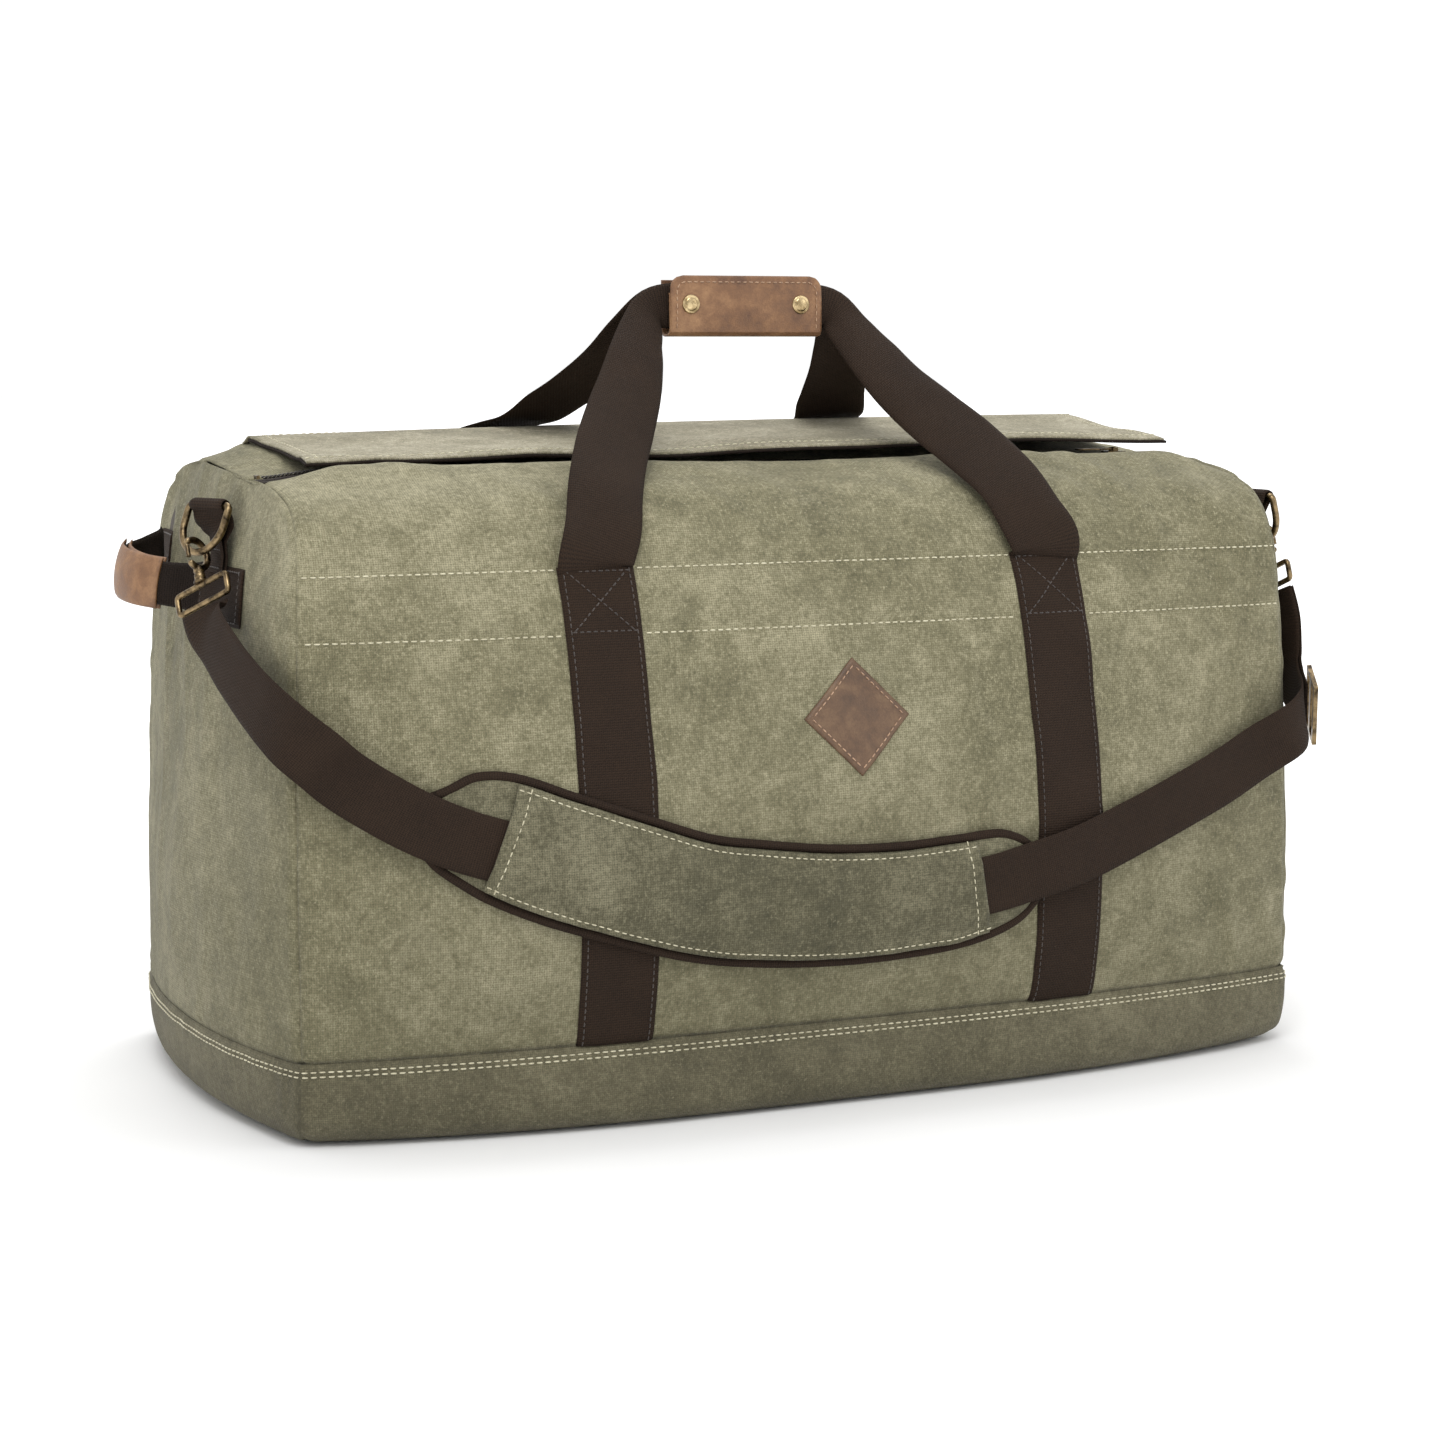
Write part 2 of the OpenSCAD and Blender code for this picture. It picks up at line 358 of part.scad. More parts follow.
module right_handle_leather() { handle_leather(1); }
module anchors(e) {
  color(webc) for (q = [[-92, -17, 303], [97, 150, 322]]) sheet([for (z = [q[2], q[2] + 11, q[2] + 22, q[2] + 32.5]) [for (i = [0:4]) let (y = mix(q[0], q[1], i / 4))
    [e * ex(y, z), y, z]]], e < 0 ? -0.7 - web_t : 0.7, e < 0 ? -0.7 : 0.7 + web_t);
}
module left_handle_anchors() { anchors(-1); }
module right_handle_anchors() { anchors(1); }

front_panel();
rear_panel();
left_end_panel();
right_end_panel();
base_band();
base_floor();
base_board();
lining();
top_flap();
flap_seam_strip();
zip_tape_front();
zip_tape_rear();
zip_coil_front();
zip_coil_rear();
zip_end_stops();
zip_slider();
zip_pull();
front_run_left();
front_run_right();
rear_run_left();
rear_run_right();
base_straps();
front_handle_loop();
rear_handle_loop();
grip_wrap();
grip_flap();
snap_caps();
snap_studs();
leather_patch();
left_ring_tab();
right_ring_tab();
left_d_ring();
right_d_ring();
left_hook();
right_hook();
left_hook_gate();
right_hook_gate();
strap_webbing();
strap_return();
strap_slider();
pad_base();
pad_binding();
pad_sleeve();
left_handle_anchors();
right_handle_anchors();
left_handle_web();
right_handle_web();
left_handle_leather();
right_handle_leather();
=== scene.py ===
import bpy, math
import numpy as np
from mathutils import Vector, Matrix
from mathutils.bvhtree import BVHTree


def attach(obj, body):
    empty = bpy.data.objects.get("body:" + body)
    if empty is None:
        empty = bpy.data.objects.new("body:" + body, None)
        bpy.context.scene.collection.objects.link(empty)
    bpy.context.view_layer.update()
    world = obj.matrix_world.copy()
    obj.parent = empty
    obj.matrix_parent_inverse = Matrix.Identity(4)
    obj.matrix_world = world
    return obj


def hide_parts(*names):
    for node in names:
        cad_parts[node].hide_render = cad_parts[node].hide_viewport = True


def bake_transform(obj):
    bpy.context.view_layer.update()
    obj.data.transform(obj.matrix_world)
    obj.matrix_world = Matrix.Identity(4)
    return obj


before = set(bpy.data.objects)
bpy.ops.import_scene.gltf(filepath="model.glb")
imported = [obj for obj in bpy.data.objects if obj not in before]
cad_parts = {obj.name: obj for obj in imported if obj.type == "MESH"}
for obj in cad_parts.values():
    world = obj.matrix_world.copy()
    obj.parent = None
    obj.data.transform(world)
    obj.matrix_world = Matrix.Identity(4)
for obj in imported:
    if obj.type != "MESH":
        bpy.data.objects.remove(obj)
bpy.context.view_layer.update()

MM = 0.001

# ------------------------------------------------------------------ maths
def unit(v):
    v = np.asarray(v, float)
    return v / np.maximum(1e-12, np.linalg.norm(v, axis=-1, keepdims=True))

def _hash(ix, iy, iz, seed):
    h = (ix * 374761393 + iy * 668265263 + iz * 2147483647 + seed * 1274126177) & 0xFFFFFFFF
    h = ((h ^ (h >> 13)) * 1274126177) & 0xFFFFFFFF
    return ((h ^ (h >> 16)) & 0xFFFF) / 32767.5 - 1.0

def vnoise(x, y, z=0.0, seed=0):
    x, y, z = np.broadcast_arrays(np.asarray(x, float), np.asarray(y, float), np.asarray(z, float))
    fx, fy_, fz = np.floor(x), np.floor(y), np.floor(z)
    ix, iy, iz = fx.astype(np.int64), fy_.astype(np.int64), fz.astype(np.int64)
    tx, ty, tz = x - fx, y - fy_, z - fz
    tx, ty, tz = [t * t * t * (t * (t * 6 - 15) + 10) for t in (tx, ty, tz)]
    out = 0
    for a in (0, 1):
        for b in (0, 1):
            for c in (0, 1):
                w = (tx if a else 1 - tx) * (ty if b else 1 - ty) * (tz if c else 1 - tz)
                out = out + w * _hash(ix + a, iy + b, iz + c, seed)
    return out

def fbm(x, y, z=0.0, octaves=3, seed=0):
    s, a, f = 0, 1.0, 1.0
    for o in range(octaves):
        s = s + a * vnoise(np.asarray(x) * f, np.asarray(y) * f, np.asarray(z) * f, seed + 17 * o)
        a *= 0.5; f *= 2.03
    return s

def ridge(x, y, seed=0):
    return 1 - 2.2 * np.abs(vnoise(x, y, 0.3, seed))

def smooth(t):
    t = np.clip(t, 0, 1)
    return t * t * (3 - 2 * t)

def mix(a, b, t):
    return a + (b - a) * t

def catmull(A, t):
    """Smooth interpolation of rows A (n, c) at parameters t (any shape)."""
    A = np.asarray(A, float); n = len(A)
    t = np.clip(np.asarray(t, float), 0, n - 1 - 1e-9)
    i = np.floor(t).astype(int); f = (t - i)[..., None]
    p0, p1, p2, p3 = A[np.maximum(i - 1, 0)], A[i], A[np.minimum(i + 1, n - 1)], A[np.minimum(i + 2, n - 1)]
    m1 = (p2 - p0) / 2; m2 = (p3 - p1) / 2
    f2, f3 = f * f, f * f * f
    return (2 * f3 - 3 * f2 + 1) * p1 + (f3 - 2 * f2 + f) * m1 + (-2 * f3 + 3 * f2) * p2 + (f3 - f2) * m2

def respace(P, step, extra=()):
    """Points evenly spaced along a smooth curve through P. extra: more columns carried along."""
    P = np.asarray(P, float)
    A = np.hstack([P] + [np.asarray(e, float).reshape(len(P), -1) for e in extra])
    T = np.linspace(0, len(P) - 1, (len(P) - 1) * 24 + 1)
    Q = catmull(A, T)
    d = np.r_[0, np.cumsum(np.linalg.norm(np.diff(Q[:, :3], axis=0), axis=1))]
    n = max(3, int(round(d[-1] / step)) + 1)
    s = np.linspace(0, d[-1], n)
    return np.stack([np.interp(s, d, Q[:, k]) for k in range(Q.shape[1])], 1), s

# ------------------------------------------------------------------ mesh makers
MATS = {}
def add_mesh(name, verts, faces, mat, body=None, wv=None, smooth_=True, replaces=(), slot=None, sharp=None):
    me = bpy.data.meshes.new(name)
    verts = np.asarray(verts, float)
    me.from_pydata([tuple(v) for v in verts], [], [tuple(int(i) for i in f) for f in faces])
    me.update()
    if smooth_:
        me.polygons.foreach_set("use_smooth", [True] * len(me.polygons))
    if wv is not None:
        a = me.attributes.new("wv", "FLOAT_VECTOR", "POINT")
        w = np.zeros((len(verts), 3)); wv = np.asarray(wv, float); w[:, :wv.shape[1]] = wv
        a.data.foreach_set("vector", w.astype(np.float32).ravel())
    ob = bpy.data.objects.new(name, me)
    bpy.context.scene.collection.objects.link(ob)
    if mat:
        me.materials.append(MATS[mat])
    if body:
        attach(ob, body)
    if replaces:
        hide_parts(*replaces)
    return ob

def grid_normals(P):
    du = np.gradient(P, axis=1); dv = np.gradient(P, axis=0)
    return unit(np.cross(du, dv))

def slab(P, W, hi, lo, N=None):
    """Closed sheet between P+hi*N and P+lo*N, P a grid (m, n, 3); hi and lo scalars or (m, n)."""
    m, n = P.shape[:2]
    if N is None: N = grid_normals(P)
    hi = np.broadcast_to(np.asarray(hi, float), (m, n))[..., None]; lo = np.broadcast_to(np.asarray(lo, float), (m, n))[..., None]
    V = np.concatenate([(P + N * hi).reshape(-1, 3), (P + N * lo).reshape(-1, 3)])
    Wv = np.concatenate([W.reshape(-1, W.shape[-1])] * 2)
    q = m * n; F = []
    I = np.arange(q).reshape(m, n)
    a, b, c, d = I[:-1, :-1].ravel(), I[:-1, 1:].ravel(), I[1:, 1:].ravel(), I[1:, :-1].ravel()
    F += np.stack([a, b, c, d], 1).tolist()
    F += (np.stack([d, c, b, a], 1) + q).tolist()
    rim = np.r_[I[0, :], I[1:, -1], I[-1, -2::-1], I[-2:0:-1, 0]]
    k = len(rim); r2 = np.roll(rim, -1)
    F += np.stack([rim, rim + q, r2 + q, r2], 1).tolist()
    return V, F, Wv

def ribbon(name, path, normals, widths, thick, mat, body=None, step=0.003, nw=13, curl=None, edge=6, wob=0.0, seed=0, **kw):
    """Flat webbing along a smooth curve. curl: half angle (radians) that the section bends through."""
    n = len(path)
    widths = np.broadcast_to(np.asarray(widths, float), (n,))
    curl = np.zeros(n) if curl is None else np.broadcast_to(np.asarray(curl, float), (n,))
    Q, s = respace(path, step, (normals, widths, curl))
    P, N, Wd, C = Q[:, :3], Q[:, 3:6], Q[:, 6], Q[:, 7]
    T = unit(np.gradient(P, axis=0)); A = unit(np.cross(N, T)); B = unit(np.cross(T, A))
    a = np.linspace(-1, 1, nw)
    a = np.sign(a) * np.abs(a) ** 0.8
    G = np.zeros((len(P), nw, 3)); H = np.zeros((len(P), nw))
    for j, aj in enumerate(a):
        Cc = np.maximum(C, 1e-4)
        ang = aj * Cc
        R = Wd / 2 / Cc
        off = A * (np.sin(ang) * R)[:, None] - B * ((1 - np.cos(ang)) * R)[:, None]
        if wob: off = off + B * (wob * fbm(s * 18, aj * 0.8, seed=seed, octaves=2))[:, None]
        G[:, j] = P + off
    H[:] = thick / 2 * (1 - np.abs(a) ** (2 * edge)) ** 0.5 + thick * 0.08
    Wv = np.stack([np.broadcast_to(s[:, None], (len(P), nw)), np.broadcast_to(a[None, :], (len(P), nw)) * Wd[:, None] / 2], -1)
    Nn = -grid_normals(G)
    sgn = np.sign((Nn * B[:, None, :]).sum(-1).mean())
    Nn = Nn * sgn
    if sgn > 0:
        G, Wv, H, Nn = G[:, ::-1], Wv[:, ::-1], H[:, ::-1], Nn[:, ::-1]
    V, F, W = slab(G, Wv, H, -H, Nn)
    V2 = V; chk = np.cross(V[F[0][1]] - V[F[0][0]], V[F[0][2]] - V[F[0][0]])
    if (chk * Nn[0, 0]).sum() < 0:
        F = [f[::-1] for f in F]
    ob = add_mesh(name, V2, F, mat, body, W, **kw)
    return ob, P, T, A, B, s

def tube(name, P, r, mat, body, nseg=10, closed=False, cap=True, wv=True, **kw):
    P = np.asarray(P, float); n = len(P)
    T = unit(np.roll(P, -1, 0) - np.roll(P, 1, 0)) if closed else unit(np.gradient(P, axis=0))
    ref = np.array([0.013, 0.027, 1.0]) if abs(T[0][2]) < 0.9 else np.array([1.0, 0.02, 0.03])
    A = [unit(np.cross(T[0], ref))]
    for i in range(1, n):
        v = A[-1] - T[i] * (A[-1] @ T[i]); A.append(unit(v))
    A = np.array(A); B = np.cross(T, A)
    r = np.broadcast_to(np.asarray(r, float), (n,))
    ang = np.linspace(0, 2 * np.pi, nseg, endpoint=False)
    V = (P[:, None] + (A[:, None] * np.cos(ang)[None, :, None] + B[:, None] * np.sin(ang)[None, :, None]) * r[:, None, None]).reshape(-1, 3)
    F = []
    for i in range(n if closed else n - 1):
        a, b = i * nseg, ((i + 1) % n) * nseg
        for j in range(nseg):
            k = (j + 1) % nseg
            F.append([a + j, a + k, b + k, b + j])
    if not closed and cap:
        F.append(list(range(nseg))[::-1]); F.append([(n - 1) * nseg + j for j in range(nseg)])
    s = np.r_[0, np.cumsum(np.linalg.norm(np.diff(P, axis=0), axis=1))]
    W = np.stack([np.repeat(s, nseg), np.tile(ang * 0.002, n)], 1)
    return add_mesh(name, V, F, mat, body, W, **kw)

def stitch_mesh(lines, length=0.0034, gap=0.0016, r=0.00045, sink=0.0):
    """Rows of short raised stitches. lines: list of (points, normals) polylines."""
    VS, FS = [], []
    prof = np.array([(-1, 0.25), (-0.82, 0.8), (-0.4, 1.0), (0.4, 1.0), (0.82, 0.8), (1, 0.25)])
    nseg = 6; ang = np.linspace(0, 2 * np.pi, nseg, endpoint=False)
    base = 0
    for P, N in lines:
        P = np.asarray(P, float); N = np.asarray(N, float)
        d = np.r_[0, np.cumsum(np.linalg.norm(np.diff(P, axis=0), axis=1))]
        pitch = length + gap
        c = np.arange(pitch / 2, d[-1], pitch)
        if len(c) == 0: continue
        C = np.stack([np.interp(c, d, P[:, k]) for k in range(3)], 1)
        C2 = np.stack([np.interp(np.minimum(c + 0.001, d[-1]), d, P[:, k]) for k in range(3)], 1)
        C1 = np.stack([np.interp(np.maximum(c - 0.001, 0), d, P[:, k]) for k in range(3)], 1)
        Nn = unit(np.stack([np.interp(c, d, N[:, k]) for k in range(3)], 1))
        T = unit(C2 - C1); B = unit(np.cross(Nn, T)); Nn = np.cross(T, B)
        for (t, q) in prof:
            ring = (C + T * t * length / 2 + Nn * (r * (0.55 - 0.7 * abs(t) ** 3) - sink))[:, None] + \
                (B[:, None] * np.cos(ang)[None, :, None] + Nn[:, None] * np.sin(ang)[None, :, None]) * r * q
            VS.append(ring)
        m = len(c); nr = len(prof)
        blk = np.stack(VS[-nr:], 1).reshape(-1, 3)
        VS = VS[:-nr]; VS.append(blk)
        for i in range(m):
            o = base + i * nr * nseg
            for k in range(nr - 1):
                for j in range(nseg):
                    j2 = (j + 1) % nseg
                    FS.append([o + k * nseg + j, o + k * nseg + j2, o + (k + 1) * nseg + j2, o + (k + 1) * nseg + j])
            FS.append([o + j for j in range(nseg)][::-1]); FS.append([o + (nr - 1) * nseg + j for j in range(nseg)])
        base += m * nr * nseg
    return np.concatenate(VS), FS

def stitches(name, lines, mat, body, **kw):
    V, F = stitch_mesh(lines, **kw)
    return add_mesh(name, V, F, mat, body, V)

# ------------------------------------------------------------------ materials
def lin(r, g, b):
    f = lambda c: (c / 255) / 12.92 if c / 255 <= 0.04045 else ((c / 255 + 0.055) / 1.055) ** 2.4
    return (f(r), f(g), f(b), 1)

class NT:
    def __init__(s, name):
        m = bpy.data.materials.new(name); m.use_nodes = True
        s.m, s.t = m, m.node_tree; s.t.nodes.clear()
        s.out = s.t.nodes.new("ShaderNodeOutputMaterial")
        s.b = s.t.nodes.new("ShaderNodeBsdfPrincipled")
        s.t.links.new(s.b.outputs[0], s.out.inputs[0]); MATS[name] = m
    def n(s, kind, **kw):
        nd = s.t.nodes.new(kind)
        for k, v in kw.items(): setattr(nd, k, v)
        return nd
    def l(s, a, b): s.t.links.new(a, b)
    def set(s, nd, **kw):
        for k, v in kw.items(): nd.inputs[k.replace("_", " ")].default_value = v
        return nd
    def attr(s): return s.n("ShaderNodeAttribute", attribute_name="wv").outputs["Vector"]
    def obj(s): return s.n("ShaderNodeTexCoord").outputs["Object"]
    def noise(s, vec, scale, detail=3, rough=0.55, dist=0.0):
        nd = s.n("ShaderNodeTexNoise"); s.l(vec, nd.inputs["Vector"])
        nd.inputs["Scale"].default_value = scale; nd.inputs["Detail"].default_value = detail
        nd.inputs["Roughness"].default_value = rough; nd.inputs["Distortion"].default_value = dist
        return nd.outputs["Fac"]
    def math(s, op, a, b=None, c=None, clamp=False):
        nd = s.n("ShaderNodeMath", operation=op, use_clamp=clamp)
        for i, v in enumerate((a, b, c)):
            if v is None: continue
            if isinstance(v, (int, float)): nd.inputs[i].default_value = v
            else: s.l(v, nd.inputs[i])
        return nd.outputs[0]
    def ramp(s, fac, stops):
        nd = s.n("ShaderNodeValToRGB"); s.l(fac, nd.inputs[0])
        e = nd.color_ramp.elements
        while len(e) > len(stops): e.remove(e[-1])
        while len(e) < len(stops): e.new(0.5)
        for el, (p, c) in zip(e, stops): el.position = p; el.color = c
        return nd.outputs["Color"]
    def mixc(s, fac, a, b, mode="MIX"):
        nd = s.n("ShaderNodeMix", data_type="RGBA", blend_type=mode)
        for sock, v in ((nd.inputs[0], fac), (nd.inputs[6], a), (nd.inputs[7], b)):
            if isinstance(v, (int, float)): sock.default_value = v
            elif isinstance(v, tuple): sock.default_value = v
            else: s.l(v, sock)
        return nd.outputs[2]
    def xyz(s, vec):
        nd = s.n("ShaderNodeSeparateXYZ"); s.l(vec, nd.inputs[0]); return nd.outputs
    def bump(s, h, strength, dist):
        nd = s.n("ShaderNodeBump"); s.l(h, nd.inputs["Height"])
        nd.inputs["Strength"].default_value = strength; nd.inputs["Distance"].default_value = dist
        s.l(nd.outputs[0], s.b.inputs["Normal"]); return nd
    def weave(s, vec, pu, pv, wob=None):
        """Plain weave height 0..1 with thread pitch pu, pv metres."""
        o = s.xyz(vec)
        u = s.math("MULTIPLY", o[0], math.pi / pu); v = s.math("MULTIPLY", o[1], math.pi / pv)
        if wob is not None:
            u = s.math("ADD", u, wob); v = s.math("ADD", v, wob)
        su, sv = s.math("SINE", u), s.math("SINE", v)
        a = s.math("ABSOLUTE", su); b = s.math("ABSOLUTE", sv)
        par = s.math("MULTIPLY", s.math("COSINE", u), s.math("COSINE", v))
        k = s.math("GREATER_THAN", par, 0.0)
        h = s.math("ADD", s.math("MULTIPLY", a, s.math("SUBTRACT", 1.0, k)), s.math("MULTIPLY", b, k))
        return h

def make_canvas(name, dark, mid, light, pitch=0.0015, contrast=1.0, bumpd=0.00035, grad=True):
    M = NT(name); v = M.attr(); o = M.obj()
    cloud = M.noise(o, 7, 4, 0.6, 0.4)
    patch = M.noise(o, 42, 5, 0.68, 0.5)
    fine = M.noise(o, 300, 3, 0.75)
    slub = M.n("ShaderNodeMapping"); slub.inputs["Scale"].default_value = (110, 800, 1); M.l(v, slub.inputs["Vector"])
    sl = M.noise(slub.outputs[0], 1.0, 2, 0.6)
    slub2 = M.n("ShaderNodeMapping"); slub2.inputs["Scale"].default_value = (800, 110, 1); M.l(v, slub2.inputs["Vector"])
    sl2 = M.noise(slub2.outputs[0], 1.0, 2, 0.6)
    mixn = M.math("ADD", M.math("MULTIPLY", cloud, 0.28), M.math("MULTIPLY", patch, 0.28))
    mixn = M.math("ADD", mixn, M.math("MULTIPLY", fine, 0.28))
    mixn = M.math("ADD", mixn, M.math("MULTIPLY", M.math("ADD", sl, sl2), 0.08))
    k = 0.115 / contrast
    col = M.ramp(mixn, [(0.5 - k, dark), (0.5, mid), (0.5 + k, light)])
    # pale rubbed lines where the wax has cracked along old creases
    warp = M.n("ShaderNodeMapping"); warp.inputs["Scale"].default_value = (1, 1, 0.55); M.l(o, warp.inputs["Vector"])
    r1 = M.noise(warp.outputs[0], 16, 4, 0.62, 0.9)
    r1 = M.math("SUBTRACT", 1.0, M.math("MULTIPLY", M.math("ABSOLUTE", M.math("SUBTRACT", r1, 0.5)), 22.0), clamp=True)
    m1 = M.math("MULTIPLY", M.math("SUBTRACT", M.noise(o, 11, 3, 0.6), 0.46), 5.0, clamp=True)
    line = M.math("MULTIPLY", M.math("MULTIPLY", r1, m1), M.math("MULTIPLY", M.math("ADD", fine, 0.15), 0.62), clamp=True)
    r2 = M.noise(o, 48, 3, 0.6, 1.2)
    r2 = M.math("SUBTRACT", 1.0, M.math("MULTIPLY", M.math("ABSOLUTE", M.math("SUBTRACT", r2, 0.5)), 17.0), clamp=True)
    m2 = M.math("MULTIPLY", M.math("SUBTRACT", M.noise(o, 19, 2, 0.6, 0.2), 0.54), 7.0, clamp=True)
    line2 = M.math("MULTIPLY", M.math("MULTIPLY", r2, m2), 0.34, clamp=True)
    col = M.mixc(M.math("MAXIMUM", line, line2), col, light)
    wob = M.math("MULTIPLY", M.noise(v, 260, 2), 1.6)
    w = M.weave(v, pitch, pitch, wob)
    col = M.mixc(M.math("MULTIPLY", M.math("SUBTRACT", 1.0, w), 0.75), col, dark, "MIX")
    speck = M.noise(o, 560, 2, 0.7)
    col = M.mixc(M.math("MULTIPLY", M.math("SUBTRACT", speck, 0.55), 3.2, clamp=True), col, light)
    col = M.mixc(M.math("MULTIPLY", M.math("SUBTRACT", 0.45, speck), 3.0, clamp=True), col, dark)
    if grad:
        # darker towards the bottom of the bag
        z = M.xyz(o)[2]
        g = M.n("ShaderNodeMapRange"); M.l(z, g.inputs[0]); g.inputs[1].default_value = 0.02; g.inputs[2].default_value = 0.33; g.inputs[3].default_value = 0.30; g.inputs[4].default_value = 0.0
        col = M.mixc(M.math("MULTIPLY", g.outputs[0], 1.0), col, (dark[0] * 0.72, dark[1] * 0.72, dark[2] * 0.70, 1))
    M.l(col, M.b.inputs["Base Color"])
    r = M.math("ADD", M.math("MULTIPLY", patch, 0.25), 0.66, clamp=True)
    M.l(r, M.b.inputs["Roughness"])
    M.b.inputs["Sheen Weight"].default_value = 0.06; M.b.inputs["Sheen Roughness"].default_value = 0.5
    M.b.inputs["Specular IOR Level"].default_value = 0.22
    h = M.math("ADD", M.math("MULTIPLY", w, 0.8), M.math("MULTIPLY", fine, 0.6))
    h = M.math("ADD", h, M.math("MULTIPLY", patch, 1.3))
    h = M.math("ADD", h, M.math("MULTIPLY", line, 1.0))
    M.bump(h, 0.65, bumpd)
    return M.m

def make_webbing(name, dark, mid, pitch=0.0016, spec=0.3):
    M = NT(name); v = M.attr(); o = M.obj()
    x = M.xyz(v)
    # ribs run across the strap over a plain weave
    rib = M.math("ABSOLUTE", M.math("SINE", M.math("MULTIPLY", x[0], math.pi / pitch)))
    warp = M.math("ABSOLUTE", M.math("SINE", M.math("MULTIPLY", x[1], math.pi / (pitch * 0.8))))
    w = M.weave(v, pitch, pitch * 0.8)
    big = M.noise(o, 30, 4, 0.6); fine = M.noise(o, 600, 2, 0.6)
    f = M.math("ADD", M.math("MULTIPLY", w, 0.45), M.math("MULTIPLY", fine, 0.35))
    f = M.math("ADD", f, M.math("MULTIPLY", big, 0.3))
    col = M.ramp(f, [(0.25, dark), (0.8, mid)])
    M.l(col, M.b.inputs["Base Color"])
    M.b.inputs["Roughness"].default_value = 0.82
    M.b.inputs["Sheen Weight"].default_value = 0.0; M.b.inputs["Sheen Roughness"].default_value = 0.45
    M.b.inputs["Sheen Tint"].default_value = (0.75, 0.62, 0.52, 1)
    M.b.inputs["Specular IOR Level"].default_value = spec
    h = M.math("ADD", w, M.math("MULTIPLY", rib, 0.35))
    M.bump(h, 0.7, 0.0004)
    return M.m

def make_leather(name, dark, mid, light, scale=1.0, rough=0.5):
    M = NT(name); o = M.obj()
    vor = M.n("ShaderNodeTexVoronoi"); M.l(o, vor.inputs["Vector"]); vor.inputs["Scale"].default_value = 900 * scale
    vor.feature = "F1"
    big = M.noise(o, 28 * scale, 4, 0.6, 0.5); med = M.noise(o, 130 * scale, 4, 0.65, 0.2); fine = M.noise(o, 800 * scale, 2)
    f = M.math("ADD", M.math("MULTIPLY", big, 0.5), M.math("MULTIPLY", med, 0.4))
    f = M.math("ADD", f, M.math("MULTIPLY", fine, 0.12))
    col = M.ramp(f, [(0.34, dark), (0.52, mid), (0.7, light)])
    M.l(col, M.b.inputs["Base Color"])
    r = M.math("ADD", M.math("MULTIPLY", med, 0.35), rough - 0.15, clamp=True)
    M.l(r, M.b.inputs["Roughness"])
    h = M.math("ADD", M.math("MULTIPLY", vor.outputs["Distance"], 0.8), M.math("MULTIPLY", med, 1.2))
    M.bump(h, 0.45, 0.0004)
    return M.m

def make_brass(name, base, dark, rough=0.3):
    M = NT(name); o = M.obj()
    n1 = M.noise(o, 160, 4, 0.65, 0.3); n2 = M.noise(o, 1200, 2)
    col = M.ramp(n1, [(0.36, dark), (0.6, base)])
    M.l(col, M.b.inputs["Base Color"]); M.b.inputs["Metallic"].default_value = 1.0
    r = M.math("ADD", M.math("MULTIPLY", n1, 0.3), rough - 0.13, clamp=True)
    M.l(r, M.b.inputs["Roughness"])
    M.bump(M.math("ADD", n1, M.math("MULTIPLY", n2, 0.4)), 0.18, 0.0003)
    return M.m

def make_thread(name, col, col2):
    M = NT(name); o = M.obj()
    n1 = M.noise(o, 900, 2); n2 = M.noise(o, 60, 2)
    c = M.ramp(M.math("ADD", M.math("MULTIPLY", n1, 0.5), M.math("MULTIPLY", n2, 0.5)), [(0.35, col2), (0.6, col)])
    M.l(c, M.b.inputs["Base Color"]); M.b.inputs["Roughness"].default_value = 0.6
    M.b.inputs["Sheen Weight"].default_value = 0.3
    M.bump(n1, 0.4, 0.0002)
    return M.m

make_canvas("canvas", lin(84, 81, 60), lin(124, 119, 93), lin(168, 162, 134))
make_canvas("flap_canvas", lin(100, 95, 76), lin(144, 138, 116), lin(190, 183, 162))
make_canvas("base_canvas", lin(74, 70, 54), lin(108, 103, 81), lin(146, 140, 114), pitch=0.0013, bumpd=0.0005)
make_canvas("pad_canvas", lin(62, 60, 45), lin(98, 94, 73), lin(142, 137, 112))
make_canvas("lining_cloth", lin(46, 40, 34), lin(62, 54, 45), lin(78, 68, 58), pitch=0.0008, bumpd=0.0002, grad=False)
make_webbing("webbing", lin(19, 13, 9), lin(49, 36, 26), spec=0.18)
make_webbing("webbing_dark", lin(15, 11, 9), lin(36, 27, 21), spec=0.18)
make_webbing("tape", lin(26, 21, 18), lin(52, 42, 36), pitch=0.0009)
make_leather("grip_leather", lin(84, 55, 35), lin(118, 83, 54), lin(152, 115, 80))
make_leather("patch_leather", lin(64, 46, 32), lin(92, 68, 48), lin(116, 91, 66))
make_leather("leather_edge", lin(70, 44, 32), lin(96, 62, 44), lin(116, 78, 58))
make_brass("bright_brass", lin(206, 184, 142), lin(128, 108, 76), 0.26)
make_brass("antique_brass", lin(146, 126, 94), lin(62, 52, 40))
make_brass("dark_metal", lin(96, 84, 66), lin(40, 34, 28), 0.38)
make_thread("thread_light", lin(206, 200, 172), lin(164, 156, 128))
make_thread("thread_dark", lin(58, 47, 40), lin(34, 27, 23))
make_thread("thread_tan", lin(176, 142, 112), lin(128, 96, 72))
M = NT("coil_plastic"); o_ = M.obj(); M.l(M.ramp(M.noise(o_, 300, 3), [(0.3, lin(30, 26, 23)), (0.7, lin(54, 47, 42))]), M.b.inputs["Base Color"]); M.b.inputs["Roughness"].default_value = 0.35; M.bump(M.noise(o_, 900, 2), 0.2, 0.0002)
